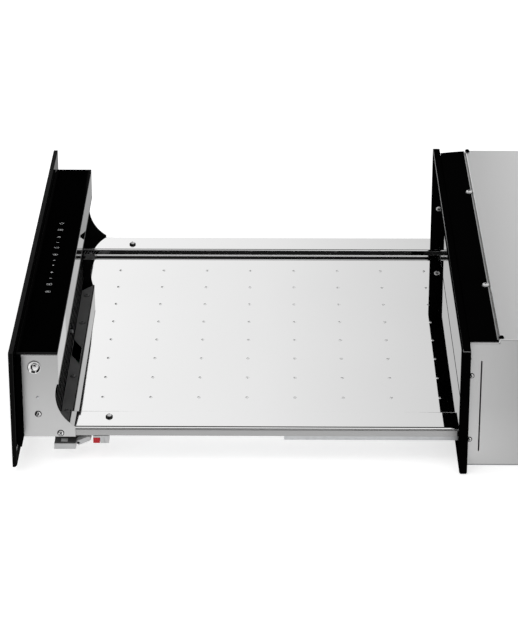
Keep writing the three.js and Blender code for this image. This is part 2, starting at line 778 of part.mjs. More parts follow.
function dimples() {
  const rows = Math.floor((2 * (floorX - DIMPLE_SIDE_MARGIN)) / DIMPLE_ROW_PITCH) + 1;
  const columns = Math.floor((trayBackY - trayFrontY - 2 * DIMPLE_END_MARGIN) / DIMPLE_COLUMN_PITCH) + 1;
  const list = [];
  for (let row = 0; row < rows; row++) {
    for (let column = 0; column < columns; column++) {
      const pip = new THREE.CylinderGeometry(DIMPLE_RADIUS / 2, DIMPLE_RADIUS, 2 * DIMPLE_HEIGHT, 6);
      pip.rotateX(Math.PI / 2);
      const x = (row - (rows - 1) / 2) * DIMPLE_ROW_PITCH;
      pip.translate(x, trayBackY - DIMPLE_END_MARGIN - column * DIMPLE_COLUMN_PITCH, TRAY_FLOOR);
      list.push(solid(pip));
    }
  }
  return list;
}

// Its lower edge follows the tray, so that the middle members pass under the flanges.
function rearWall() {
  const bendX = floorX + STEP_SLOPE + SHEET;
  const half = [
    [bendX, TRAY_FLOOR - SHEET],
    [bendX, flangeZ - SHEET],
    [boxInnerX, flangeZ - SHEET],
    [boxInnerX, boxTopZ - REAR_WALL_DROP],
  ];
  const mirrored = half.map(([x, z]) => [-x, z]).reverse();
  return alongY([...half, ...mirrored], rearWallY, shutWallY);
}

// A channel under the flange that opens inwards.
function sideRail() {
  const bottom = railTopZ - RAIL_HEIGHT;
  const inner = railOuterX - RAIL_WIDTH;
  const outline = [
    [inner, bottom],
    [railOuterX, bottom],
    [railOuterX, railTopZ],
    [inner, railTopZ],
    [inner, railTopZ - SHEET],
    [railOuterX - SHEET, railTopZ - SHEET],
    [railOuterX - SHEET, bottom + SHEET],
    [inner, bottom + SHEET],
  ];
  return alongY(outline, boxBackY + SEAT, trayBackY);
}

function trayScrew() {
  const centre = [flangeX - TRAY_SCREW_INSET, frontY + TRAY_SCREW_SETBACK];
  const seat = flangeZ + SEAT;
  const top = seat + TRAY_SCREW_HEIGHT;
  const head = bar("z", centre, TRAY_SCREW_RADIUS, [seat, top], 20);
  const socket = bar("z", centre, TRAY_SCREW_SOCKET, [top - SOCKET_DEPTH, top + 1], 6);
  return cut(head, socket);
}

function inspectionPlug() {
  const centre = [boxFrontY + PLUG_SETBACK, boxTopZ - PLUG_DROP];
  const seat = drawerX + SEAT;
  const rim = seat + PLUG_HEIGHT;
  const floor = seat + PLUG_HEIGHT / 2;
  const ring = bar("x", centre, PLUG_RADIUS, [seat, rim], 28);
  const recess = bar("x", centre, PLUG_RADIUS - PLUG_RIM, [floor, rim + 1], 28);
  const crown = bar("x", centre, PLUG_CROWN_RADIUS, [seat, rim + SEAT], 20);
  return join(cut(ring, recess), crown);
}

// ---- Front slide couplings ----

const couplingX = drawerX - COUPLING_WIDTH;
const leverPivotY = frontY + COUPLING_FRONT + COUPLING_LENGTH + LEVER_RADIUS + RUN;

function couplingHousing() {
  const front = frontY + COUPLING_FRONT;
  const body = box(
    [couplingX, drawerX],
    [front, front + COUPLING_LENGTH],
    [COUPLING_BOTTOM, COUPLING_BOTTOM + COUPLING_HEIGHT],
  );
  const web = box(
    [couplingX, couplingX + WEB],
    [front, front + WEB_LENGTH],
    [COUPLING_BOTTOM, underRailZ],
  );
  const pivot = [leverPivotY, LEVER_PIVOT_HEIGHT];
  const hole = bar("x", pivot, PIN_RADIUS + RUN, [couplingX - 1, couplingX + WEB + 1], 12);
  return cut(join(body, web), hole);
}

function releaseLever() {
  const angle = Math.atan2(LEVER_RISE, LEVER_REACH);
  const inner = couplingX + WEB + SEAT;
  const pivot = [leverPivotY, LEVER_PIVOT_HEIGHT];
  const tip = [leverPivotY + LEVER_REACH, LEVER_PIVOT_HEIGHT + LEVER_RISE];
  const quarter = Math.PI / 2;
  const outline = [
    ...arc(tip, LEVER_RADIUS, angle - quarter, angle + quarter, 6),
    ...arc(pivot, LEVER_RADIUS, angle + quarter, angle + 3 * quarter, 6),
  ];
  const arm = alongX(outline, inner, inner + LEVER_WIDTH);
  const pin = bar("x", pivot, PIN_RADIUS, [couplingX, inner + 1], 12);
  return join(arm, pin);
}

const blockOuterX = railOuterX - SEAT;
const adjusterY = frontY + ADJUSTER_FRONT;

function depthAdjuster() {
  const top = underRailZ - STOP_ARM - SEAT;
  return box(
    [blockOuterX - ADJUSTER_WIDTH, blockOuterX],
    [adjusterY, adjusterY + ADJUSTER_LENGTH],
    [top - ADJUSTER_HEIGHT, top],
  );
}

function stopBlock() {
  const width = [blockOuterX - ADJUSTER_WIDTH - 2, blockOuterX];
  const front = adjusterY + ADJUSTER_LENGTH + STOP_GAP;
  const body = box(width, [front, front + STOP_LENGTH], [underRailZ - STOP_HEIGHT, underRailZ]);
  return join(body, box(width, [adjusterY, front + 1], [underRailZ - STOP_ARM, underRailZ]));
}

// ---- Back of the cabinet ----

const plungerTipY = shutWallY + LATCH_GAP;
const glandX = bodyX - GLAND_INSET;

function latchBody() {
  const front = plungerTipY + LATCH_STROKE + 4;
  const back = backY - SHEET - SEAT;
  const half = LATCH_WIDTH / 2;
  const heights = [LATCH_HEIGHT - half, LATCH_HEIGHT + half];
  const body = box([-half, half], [front, back], heights);
  const ears = box([-half - LATCH_EAR, half + LATCH_EAR], [back - LATCH_EAR_THICKNESS, back], heights);
  const boreEnd = plungerTipY + PLUNGER_LENGTH + LATCH_STROKE + RUN;
  const bore = bar("y", [0, LATCH_HEIGHT], PLUNGER_RADIUS + RUN, [front - 1, boreEnd]);
  return cut(join(body, ears), bore);
}

function latchPlunger() {
  return bar("y", [0, LATCH_HEIGHT], PLUNGER_RADIUS, [plungerTipY, plungerTipY + PLUNGER_LENGTH]);
}

// A board on four posts, with its transformer, relay and capacitor.
function powerBoard() {
  const left = -bodyX + POWER_BOARD_INSET;
  const right = left + POWER_BOARD_WIDTH;
  const back = backY - REAR_CLEARANCE;
  const front = back - POWER_BOARD_DEPTH;
  const z = POWER_BOARD_HEIGHT;
  const board = box([left, right], [front, back], [z, z + BOARD_THICKNESS]);
  const transformer = box([left + 10, left + 42], [front + 10, front + 38], [z + 1, z + 26]);
  const relay = box([right - 30, right - 12], [front + 12, front + 30], [z + 1, z + 17]);
  const capacitor = bar("z", [right - 40, back - 12], 7, [z + 1, z + 24], 16);
  const corner = 2.5 * POST_RADIUS;
  const posts = [];
  for (const x of [left + corner, right - corner]) {
    for (const y of [front + corner, back - corner]) {
      posts.push(bar("z", [x, y], 1.5 * POST_RADIUS, [SHEET + SEAT, z + 1], 8));
    }
  }
  return join(board, transformer, relay, capacitor, ...posts);
}

function terminalBlock() {
  const half = TERMINAL_WIDTH / 2;
  const back = backY - TERMINAL_SETBACK;
  const front = back - TERMINAL_DEPTH;
  const top = SHEET + SEAT + TERMINAL_HEIGHT;
  const pitch = TERMINAL_WIDTH / 3.4;
  const ways = [-1, 0, 1].map((i) =>
    bar("z", [glandX + i * pitch, (front + back) / 2], 3.5, [top - 6, top + 1], 12),
  );
  return cut(box([glandX - half, glandX + half], [front, back], [SHEET + SEAT, top]), ...ways);
}

function mainsGland() {
  const centre = [glandX, GLAND_HEIGHT];
  const inside = backY - SHEET - SEAT;
  const outside = backY + SEAT;
  const end = outside + GLAND_FLANGE;
  const hex = GLAND_RADIUS + GLAND_FLANGE;
  const neck = bar("y", centre, GLAND_RADIUS, [backY - GLAND_INSIDE, end]);
  const flange = bar("y", centre, hex, [outside, end], 6);
  const nut = bar("y", centre, hex, [inside - GLAND_FLANGE, inside], 6);
  const bore = bar("y", centre, CORD_BORE, [backY - GLAND_INSIDE - 1, end + 1], 16);
  return cut(join(neck, flange, nut), bore);
}

// ---- Assembly ----

function shifted(parent, y) {
  const holder = new THREE.Group();
  holder.position.y = y;
  parent.add(holder);
  return holder;
}

// The right half is modelled, and a mirrored group holds its copy on the left.
function sides(parent) {
  const left = new THREE.Group();
  left.scale.x = -1;
  parent.add(left);
  return [
    ["right", parent],
    ["left", left],
  ];
}

const group = new THREE.Group();
const m = materials;

add(group, "cabinet_base", basePanel(), m.zinc);
add(group, "cabinet_top", topPanel(), m.steel);
add(group, "cabinet_back", backPanel(), m.zinc);
add(group, "front_bezel", frontBezel(), m.blackPaint);
add(group, "bezel_cover_strip", coverStrip(), m.blackPaint);
add(group, "latch_body", latchBody(), m.dark);
add(group, "power_board", powerBoard(), m.board);
add(group, "terminal_block", terminalBlock(), m.paleGrey);
add(group, "mains_gland", mainsGland(), m.dark);
for (const [side, holder] of sides(group)) {
  add(holder, `${side}_side_panel`, sidePanel(), m.steel);
  add(holder, `${side}_cover_screw`, coverScrew(), m.zinc);
  add(holder, `${side}_corner_bolt`, cornerBolt(), m.blackPaint);
  add(holder, `${side}_slide_rail`, slideRail(), m.zinc);
}

add(group, "latch_plunger", latchPlunger(), m.paleGrey);

const drawer = shifted(group, -travel);
add(drawer, "fascia_glass", fasciaGlass(), m.blackGlass);
add(drawer, "fascia_frame", fasciaFrame(), m.blackPaint);
add(drawer, "box_front_panel", boxFrontPanel(), m.zinc);
add(drawer, "box_bottom_panel", boxBottomPanel(), m.steel);
add(drawer, "box_strip", boxStrip(), m.steel);
add(drawer, "deflector_panel", deflectorPanel(), m.greyPlastic);
add(drawer, "air_grille", airGrille(), m.dark);
add(drawer, "control_glass", controlGlass(), m.blackGlass);
add(drawer, "control_board", controlBoard(), m.board);
add(drawer, "fan_housing", fanHousing(), m.dark);
add(drawer, "fan_motor", fanMotor(), m.zinc);
add(drawer, "fan_impeller", fanImpeller(), m.dark);
add(drawer, "heater_element", heaterElement(), m.zinc);
add(drawer, "temperature_sensor", temperatureSensor(), m.zinc);
add(drawer, "drawer_tray", drawerTray(), m.mirrorSteel);
add(drawer, "rear_wall", rearWall(), m.mirrorSteel);
for (const [side, holder] of sides(drawer)) {
  add(holder, `${side}_box_plate`, boxPlate(), m.steel);
  add(holder, `${side}_side_rail`, sideRail(), m.steel);
  add(holder, `${side}_slide_runner`, slideRunner(), m.zinc);
  add(holder, `${side}_tray_screw`, trayScrew(), m.zinc);
  add(holder, `${side}_inspection_plug`, inspectionPlug(), m.mirrorSteel);
  add(holder, `${side}_coupling_housing`, couplingHousing(), m.greyPlastic);
  add(holder, `${side}_release_lever`, releaseLever(), m.paleGrey);
  add(holder, `${side}_depth_adjuster`, depthAdjuster(), m.red);
  add(holder, `${side}_stop_block`, stopBlock(), m.paleGrey);
}

// The middle members make half the drawer's travel, and the cages the share between their neighbours.
for (const [side, holder] of sides(shifted(group, -travel / 2))) {
  add(holder, `${side}_slide_member`, slideMember(), m.zinc);
}
for (const [side, holder] of sides(shifted(group, -travel / 4))) {
  add(holder, `${side}_lower_ball_cage`, ballCage(cabinetRailTopZ), m.zinc);
}
for (const [side, holder] of sides(shifted(group, (-3 * travel) / 4))) {
  add(holder, `${side}_upper_ball_cage`, ballCage(memberTopZ), m.zinc);
}

export default group;
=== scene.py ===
"""A built-in warming drawer, pulled out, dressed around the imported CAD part. Sizes are in mm, the studio's in m."""

import json
import math
from contextlib import contextmanager

import bmesh
import bpy
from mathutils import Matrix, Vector

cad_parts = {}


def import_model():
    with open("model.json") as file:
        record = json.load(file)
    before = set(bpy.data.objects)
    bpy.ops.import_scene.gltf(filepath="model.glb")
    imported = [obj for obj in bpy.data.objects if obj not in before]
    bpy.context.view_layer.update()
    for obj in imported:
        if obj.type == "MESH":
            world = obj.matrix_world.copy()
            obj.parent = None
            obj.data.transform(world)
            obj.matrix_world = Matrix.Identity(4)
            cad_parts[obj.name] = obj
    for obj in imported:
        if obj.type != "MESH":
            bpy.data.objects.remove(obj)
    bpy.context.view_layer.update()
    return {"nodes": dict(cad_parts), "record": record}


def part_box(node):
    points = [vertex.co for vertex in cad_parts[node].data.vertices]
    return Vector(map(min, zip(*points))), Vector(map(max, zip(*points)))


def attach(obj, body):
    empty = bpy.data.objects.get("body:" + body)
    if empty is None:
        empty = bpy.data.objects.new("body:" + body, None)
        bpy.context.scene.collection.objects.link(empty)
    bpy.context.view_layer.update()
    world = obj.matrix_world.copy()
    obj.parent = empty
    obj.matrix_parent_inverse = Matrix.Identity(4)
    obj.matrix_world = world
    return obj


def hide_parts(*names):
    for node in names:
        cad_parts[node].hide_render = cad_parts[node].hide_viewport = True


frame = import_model()
MM = 0.001
SAME = 1e-5  # m within which two places are one
AXES = {"x": (1, 2, 0), "y": (0, 2, 1), "z": (0, 1, 2)}
UNIT = {"x": Vector((1, 0, 0)), "y": Vector((0, 1, 0)), "z": Vector((0, 0, 1))}
SIDES = (("right", 1), ("left", -1))
OUTWARDS = {1: "+x", -1: "-x"}


# ---- Finishes ----


class Reading:
    """A node's output in a finish, so that maths on it is written as an expression."""

    def __init__(self, tree, socket):
        self.tree = tree
        self.socket = socket

    def maths(self, operation, first, second):
        return self.tree.node("Math", {"operation": operation}, {0: first, 1: second})

    def __add__(self, other):
        return self.maths("ADD", self, other)

    def __sub__(self, other):
        return self.maths("SUBTRACT", self, other)

    def __rsub__(self, other):
        return self.maths("SUBTRACT", other, self)

    def __mul__(self, other):
        return self.maths("MULTIPLY", self, other)

    def __truediv__(self, other):
        return self.maths("DIVIDE", self, other)

    def __rtruediv__(self, other):
        return self.maths("DIVIDE", other, self)

    def __gt__(self, other):
        return self.maths("GREATER_THAN", self, other)

    def __lt__(self, other):
        return self.maths("LESS_THAN", self, other)

    __radd__ = __add__
    __rmul__ = __mul__


class Tree:
    """The nodes of a material or of the world."""

    def __init__(self, owner):
        owner.use_nodes = True
        self.nodes = owner.node_tree.nodes
        self.links = owner.node_tree.links

    def feed(self, node, key, value):
        if isinstance(value, Reading):
            self.links.new(value.socket, node.inputs[key])
        else:
            node.inputs[key].default_value = value

    def node(self, kind, settings=None, inputs=None, output=0):
        """Adds a node of this type, makes its settings, then fills its sockets with values or links."""
        made = self.nodes.new("ShaderNode" + kind)
        for key, value in (settings or {}).items():
            setattr(made, key, value)
        for key, value in (inputs or {}).items():
            self.feed(made, key, value)
        return Reading(self, made.outputs[output])

    def part(self, vector, axis):
        return self.node("SeparateXYZ", None, {0: vector}, "xyz".index(axis))

    def ray(self, kind):
        return self.node("LightPath", output=f"Is {kind} Ray")

    def slide(self, reading, start, end, first=0.0, last=1.0):
        """Goes evenly from the first value to the last as the reading goes from start to end."""
        return self.node("MapRange", None, {0: reading, 1: start, 2: end, 3: first, 4: last})

    def colours(self, first, second, share):
        """Goes from one colour to the other."""
        pair = [c if isinstance(c, Reading) else (*c, 1) for c in (first, second)]
        return self.node("Mix", {"data_type": "RGBA"}, {0: share, 6: pair[0], 7: pair[1]}, output=2)


class Finish(Tree):
    """A material with one shader, whose own sockets hold what is the same all over."""

    def __init__(self, name, colour, roughness, metallic=0.0, **constants):
        self.material = bpy.data.materials.new(name)
        super().__init__(self.material)
        self.shader = self.nodes["Principled BSDF"]
        self.put("Base Color", (*colour, 1))
        self.put("Roughness", roughness)
        self.put("Metallic", metallic)
        for key, value in constants.items():
            self.put(key.replace("_", " "), value)
        self.place = self.node("TexCoord", output="Object")

    def put(self, key, value):
        self.feed(self.shader, key, value)

    def noise(self, scale, stretch=(1, 1, 1), detail=2.0, roughness=0.5):
        place = self.node("Mapping", None, {"Vector": self.place, "Scale": stretch})
        sockets = {"Vector": place, "Scale": scale, "Detail": detail, "Roughness": roughness}
        return self.node("TexNoise", None, sockets)

    def cells(self, scale):
        return self.node("TexVoronoi", None, {"Vector": self.place, "Scale": scale})

    def shaded(self, colour, *shades):
        """Paints light and shade into a colour: lighter or darker along an axis."""
        for axis, start, end, first, last in shades:
            colour = colour * self.slide(self.part(self.place, axis), start, end, first, last)
        return colour

    def bump(self, height, strength, depth=0.02):
        """Depth in mm."""
        sockets = {"Strength": strength, "Distance": depth * MM, "Height": height}
        self.put("Normal", self.node("Bump", None, sockets))


def grey(value):
    return (value, value, value)


def satin_steel(name, along, level, roughness, contrast=0.04, *shades):
    """Brushed stainless sheet: fine lines along one axis and faint cloudy patches.

    A shade is painted light and shade: an axis with the two places in m between which the level goes from one share to
    another.
    """
    made = Finish(name, grey(level), roughness, 1.0)
    stretch = [900, 900, 900]
    stretch["xyz".index(along)] = 6
    lines = made.noise(1, stretch, 3.0, 0.65)
    clouds = made.noise(7, detail=3.0)
    tone = lines * 0.5 + clouds * 0.5
    steel = made.colours(grey(level * (1 - contrast)), grey(level * (1 + contrast)), tone)
    made.put("Base Color", made.shaded(steel, *shades))
    made.put("Roughness", roughness - 0.03 + tone * 0.06)
    made.bump(lines, contrast / 2)
    return made


def mirror_steel(name, level=0.86, glance=1.0):
    """Polished stainless sheet with haze and finger marks. Glance dims it at a low angle."""
    made = Finish(name, grey(level), 0.035, 1.0, Specular_Tint=(*grey(glance), 1))
    haze = made.noise(5, detail=4.0)
    hairs = made.noise(1, (40, 900, 900))
    made.put("Base Color", made.colours(grey(level - 0.02), grey(level + 0.02), haze))
    made.put("Roughness", 0.004 + haze * 0.014 + hairs * 0.008)
    made.bump(made.noise(4, detail=1.0), 0.03, 0.08)
    return made


def zinc_plate():
    """Bright zinc over pressed steel: faint spangle, duller patches and drawing marks along the slides."""
    made = Finish("zinc_plate", grey(0.62), 0.34, 1.0)
    clouds = made.noise(14, detail=4.0)
    drawn = made.noise(1, (700, 8, 700))
    tone = made.cells(160) * 0.6 + clouds * 0.5 + drawn * 0.2
    made.put("Base Color", made.colours((0.42, 0.43, 0.445), (0.6, 0.61, 0.62), tone))
    made.put("Roughness", 0.24 + tone * 0.2)
    made.bump(drawn + clouds, 0.15)
    return made


def speckled(name, levels, roughness, scale, metallic=0.0, specular=0.5, relief=0.0, stretch=(1, 1, 1), detail=3.0):
    """A finish that one noise varies between two levels of grey and two of roughness. Relief is the bump's strength."""
    made = Finish(name, grey(sum(levels) / 2), sum(roughness) / 2, metallic, Specular_IOR_Level=specular)
    marks = made.noise(scale, stretch, detail)
    made.put("Base Color", made.colours(*map(grey, levels), marks))
    made.put("Roughness", roughness[0] + marks * (roughness[1] - roughness[0]))
    if relief:
        made.bump(marks, relief)
    return made


def black_glass(name, gloss):
    """Toughened glass, black behind, with a trace of wiping haze."""
    return speckled(name, (0.0004, 0.001), (0.02, 0.07), 6, specular=gloss, stretch=(1, 2.5, 1), detail=4.0)


def glass_edge(name, level):
    """The black back of the glass seen through its edge."""
    levels = (level * 0.75, level * 1.3)
    return speckled(name, levels, (0.4, 0.6), 120, specular=0.0, stretch=(1, 1, 4))


def black_paint():
    """Fine satin powder coat."""
    made = Finish("black_paint", grey(0.001), 0.32, Specular_IOR_Level=0.0)
    grain = made.noise(2600)
    clouds = made.noise(9, detail=3.0)
    made.put("Base Color", made.colours(grey(0.0008), grey(0.0018), clouds))
    made.put("Roughness", 0.26 + grain * 0.12)
    made.bump(grain, 0.15, 0.03)
    return made


def painted_highlight(name, uneven=False):
    """A painted highlight: a sharp outer edge of the black paint coloured grey as if it caught the light, all along or
    only at the left and the corner.
    """
    made = Finish(name, grey(0.4), 0.35, 0.5, Specular_IOR_Level=0.0)
    highlight_noise = made.noise(60, detail=4.0)
    highlight_colour = made.colours(grey(0.22), grey(0.6), highlight_noise)
    if uneven:
        across = made.part(made.place, "x")
        share = made.slide(across, -0.04, 0.04, 1.0, 0.0) + (across > 0.2915) * 0.6
        highlight_colour = made.colours(grey(0.002), highlight_colour, share)
    made.put("Base Color", highlight_colour)
    made.put("Roughness", 0.28 + highlight_noise * 0.2)
    return made


def moulded(name, colour, roughness, grain_scale=1400, depth=0.04, specular=0.4):
    """Moulded plastic or matt coat with a fine grain and slightly uneven gloss."""
    made = Finish(name, colour, roughness, Specular_IOR_Level=specular)
    grain = made.noise(grain_scale, detail=3.0)
    clouds = made.noise(30)
    dark = tuple(c * 0.86 for c in colour)
    light = tuple(min(1.0, c * 1.1) for c in colour)
    made.put("Base Color", made.colours(dark, light, clouds * 0.7 + grain * 0.3))
    made.put("Roughness", roughness - 0.07 + grain * 0.14)
    made.bump(grain, 0.3, depth)
    return made


def matt_coat(name, level, roughness=0.5, specular=0.1):
    return moulded(name, grey(level), roughness, 1800, 0.02, specular)


def circuit_board():
    """Green solder resist over copper tracks, with pale pads."""
    made = Finish("circuit_board", (0.01, 0.09, 0.04), 0.35)
    black, white = (0, 0, 0, 1), (1, 1, 1, 1)
    sockets = {"Vector": made.place, "Color1": black, "Color2": black, "Mortar": white, "Scale": 90.0}
    sockets |= {"Mortar Size": 0.035, "Brick Width": 1.3, "Row Height": 0.28}
    tracks = made.node("TexBrick", {"offset": 0.35}, sockets)
    base = made.colours((0.008, 0.075, 0.032), (0.02, 0.16, 0.07), tracks)
    made.put("Base Color", made.colours(base, (0.55, 0.5, 0.34), made.cells(260) < 0.32))
    made.put("Roughness", 0.3 + made.noise(40) * 0.15)
    made.bump(tracks, 0.2, 0.05)
    return made


FINISHES = {
    # The cabinet's satin steel has painted light: lighter towards +x.
    "satin_steel": satin_steel("satin_steel", "x", 0.74, 0.33, 0.012, ("x", -0.28, 0.28, 0.99, 1.14)),
    "mirror_steel": mirror_steel("mirror_steel"),
    "zinc_plate": zinc_plate(),
    "black_paint": black_paint(),
    "black_glass": black_glass("black_glass", 0.3),
    "grey_panel": matt_coat("grey_panel", 0.1),
    "pale_plastic": moulded("pale_plastic", (0.74, 0.745, 0.75), 0.42),
    "red_plastic": moulded("red_plastic", (0.7, 0.022, 0.035), 0.38),
    "circuit_board": circuit_board(),
    "black_plastic": moulded("black_plastic", grey(0.008), 0.5, 1600, 0.05, 0.25),
}
# A darker copy of the satin steel for the upright end plates: painted shade.
SHADED_UPRIGHT_STEEL = satin_steel("upright_steel", "z", 0.53, 0.3, 0.02)
# A darker copy of the satin steel for the tray rails under the flanges: painted shade.
SHADED_RAIL_STEEL = satin_steel("rail_steel", "y", 0.39, 0.34)
# The side panels' steel is a darker copy of the satin steel with painted light: lighter towards the top and on the tab
# at the front.
PANEL_PAINTED_LIGHT = ("z", 0.07, 0.135, 0.95, 1.12), ("y", -0.262, -0.215, 1.2, 1.0)
SHADED_PANEL_STEEL = satin_steel("shaded_panel_steel", "y", 0.5, 0.34, 0.02, *PANEL_PAINTED_LIGHT)
SCREW_STEEL = speckled("screw_steel", (0.7, 0.9), (0.07, 0.17), 600, 1.0, relief=0.1)
DULL_STEEL = speckled("dull_steel", (0.7, 0.9), (0.38, 0.52), 500, 0.3, relief=0.15)
STRIP_MIRROR = mirror_steel("strip_mirror", 0.6, 0.55)
# A lighter copy of the strip's mirror finish for its near end: painted light.
STRIP_NEAR_LIT = mirror_steel("strip_near", 0.6, 0.8)
# A darker copy of the mirror steel for the tray's rear wall: painted shade.
SHADED_WALL_MIRROR = mirror_steel("shaded_wall_mirror", 0.55, 0.6)
# Grey for the glass's ground arris; on the frame's rounded edges it is a painted highlight.
ARRIS_AND_EDGE_HIGHLIGHT = speckled("arris_and_edge_highlight", (0.014, 0.024), (0.2, 0.4), 900, specular=0.0, relief=0.2, detail=2.0)
GLASS_EDGE = glass_edge("glass_edge", 0.018)
# A darker copy of the edge finish for the front pane's ends: painted shade.
SHADED_GLASS_END = glass_edge("glass_end", 0.006)
GLASS_BACK = black_glass("glass_back", 0.006)
CONTROL_GLASS = black_glass("control_glass", 0.002)
# Painted highlights on the black paint's sharp edges.
PAINTED_HIGHLIGHT = painted_highlight("painted_highlight")
# This painted highlight lies only at the left half and the near corner.
PAINTED_CORNER_HIGHLIGHT = painted_highlight("painted_corner_highlight", True)
# A lighter copy of the grey panel coat for the ceiling in the dim recess and its screws: painted light.
LIT_CEILING_COAT = matt_coat("lit_ceiling_coat", 0.22)
HOOD_COAT = matt_coat("hood_coat", 0.022, 0.4, 0.15)
GRILLE_COAT = matt_coat("grille_coat", 0.004, 0.6, 0.0)
# Near black, for the end plates' inner faces and the strip's seal.
DARK_INSIDE_AND_SEAL = matt_coat("dark_inside_and_seal", 0.0025, 0.4, 0.08)
# Near black: the colour of dark parts, and painted shade in screw recesses and round screw heads.
DARK_PARTS_AND_RECESS_SHADE = moulded("dark_parts_and_recess_shade", grey(0.012), 0.6, 900, 0.02, 0.2)
MARK_INK = moulded("mark_ink", (0.85, 0.86, 0.87), 0.45, 2400, 0.01, 0.3)


def finished(piece, *finishes):
    """Puts finishes in a piece's material places, in this order."""
    held = piece.data.materials
    for index, finish in enumerate(finishes):
        if index < len(held):
            held[index] = finish.material
        else:
            held.append(finish.material)
    return piece


def dress(piece, slot, *finishes):
    """Gives a piece its finishes, the first from a slot of the record unless another is named."""
    return finished(piece, *(finishes or [FINISHES[slot]]))


def coated(piece, index, test=lambda face: True):
    """Gives the faces that pass a test another of the piece's finishes."""
    for face in piece.data.polygons:
        if test(face):
            face.material_index = index
    return piece


# ---- Workshop: how pieces are made ----


def take_up(*pieces):
    """Selects these pieces only, with the first one active."""
    bpy.ops.object.select_all(action="DESELECT")
    for piece in pieces:
        piece.select_set(True)
    if pieces:
        bpy.context.view_layer.objects.active = pieces[0]


def span(node):
    """Where a CAD node lies, as a range in mm on each axis."""
    return [(low / MM, high / MM) for low, high in zip(*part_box(node))]


def mid(ends):
    return (ends[0] + ends[1]) / 2


def named(piece, name):
    piece.name = name
    piece.data.name = name
    return piece


def settled(piece):
    """Moves a piece's place, turn and scale into its mesh."""
    take_up(piece)
    bpy.ops.object.transform_apply(location=True, rotation=True, scale=True)
    return piece


def started(name):
    """The primitive just added, as a piece."""
    return settled(named(bpy.context.object, name))


@contextmanager
def shaping(piece):
    """Edit mode on one piece, all selected at first."""
    take_up(piece)
    bpy.ops.object.mode_set(mode="EDIT")
    bpy.ops.mesh.select_all(action="SELECT")
    yield
    bpy.ops.object.mode_set(mode="OBJECT")


def apply(piece, kind, **settings):
    """Adds a modifier with these settings and applies it."""
    take_up(piece)
    modifier = piece.modifiers.new(kind.lower(), kind)
    for key, value in settings.items():
        setattr(modifier, key, value)
    bpy.ops.object.modifier_apply(modifier=modifier.name)
    return piece


def smooth(piece, angle=38):
    """Smooths the rounded edges and keeps the faces flat."""
    take_up(piece)
    bpy.ops.object.shade_smooth_by_angle(angle=math.radians(angle))
    return apply(piece, "WEIGHTED_NORMAL", keep_sharp=True)


def bevelled(piece, width, angle, **settings):
    """Rounds the edges sharper than an angle by a width in mm."""
    limit = math.radians(angle)
    return apply(piece, "BEVEL", width=width * MM, limit_method="ANGLE", angle_limit=limit, **settings)


def ease(piece, width, segments=2, trim=-1):
    """Rounds the sharp edges by a width in mm. Trim is the material place of the rounded part."""
    return smooth(bevelled(piece, width, 30, segments=segments, material=trim))


def choose_edges(piece, test):
    """In edit mode, selects the edges that pass a test."""
    bpy.ops.mesh.select_mode(type="EDGE")
    bpy.ops.mesh.select_all(action="DESELECT")
    for edge in bmesh.from_edit_mesh(piece.data).edges:
        if test(edge):
            edge.select_set(True)
    bmesh.update_edit_mesh(piece.data)


def lies(edge, **places):
    """Whether both ends of an edge are at these places in mm, where x is the distance from the middle."""
    for end in edge.verts:
        found = {"x": abs(end.co.x), "y": end.co.y, "z": end.co.z}
        if any(abs(found[axis] - place * MM) > SAME for axis, place in places.items()):
            return False
    return True


def block(name, x, y, z, edge=0.0, segments=2):
    """A block between two places on each axis, given in either order."""
    ranges = [sorted(ends) for ends in (x, y, z)]
    middle = [mid(ends) * MM for ends in ranges]
    size = [(high - low) * MM for low, high in ranges]
    take_up()
    bpy.ops.mesh.primitive_cube_add(size=1, location=middle, scale=size)
    piece = started(name)
    return ease(piece, edge, segments) if edge else piece


def at(axis, point, depth):
    """A place from a point of an outline and its depth along an axis."""
    place = [0.0, 0.0, 0.0]
    for index, value in zip(AXES[axis], (*point, depth)):
        place[index] = value
    return Vector(place) * MM


def chain(name, places):
    """A line of edges through these places, left in edit mode."""
    take_up()
    bpy.ops.mesh.primitive_plane_add(size=MM, location=places[0])
    piece = started(name)
    bpy.ops.object.mode_set(mode="EDIT")
    bpy.ops.mesh.select_mode(type="VERT")
    bpy.ops.mesh.select_all(action="SELECT")
    bpy.ops.mesh.merge(type="CENTER")
    for before, after in zip(places, places[1:]):
        bpy.ops.mesh.extrude_vertices_move(TRANSFORM_OT_translate={"value": after - before})
    bpy.ops.mesh.select_all(action="SELECT")
    return piece


def outward(piece):
    with shaping(piece):
        bpy.ops.mesh.normals_make_consistent(inside=False)
    return piece


def sheet(name, axis, line, start, end, thickness, bend=1.0):
    """A sheet that follows a line of points along its middle, drawn out along an axis, with rounded bends."""
    piece = chain(name, [at(axis, point, start) for point in line])
    bpy.ops.mesh.extrude_edges_move(TRANSFORM_OT_translate={"value": UNIT[axis] * (end - start) * MM})
    bpy.ops.object.mode_set(mode="OBJECT")
    bevelled(piece, bend, 20, segments=4, use_clamp_overlap=True)
    apply(piece, "SOLIDIFY", thickness=thickness * MM, offset=0, use_even_offset=True)
    return smooth(outward(piece))


def plate(name, axis, outline, start, end, edge=0.0, trim=-1):
    """A closed outline drawn out along an axis."""
    piece = chain(name, [at(axis, point, start) for point in outline])
    bpy.ops.mesh.edge_face_add()
    bpy.ops.mesh.extrude_region_move(TRANSFORM_OT_translate={"value": UNIT[axis] * (end - start) * MM})
    bpy.ops.object.mode_set(mode="OBJECT")
    outward(piece)
    return ease(piece, edge, trim=trim) if edge else piece


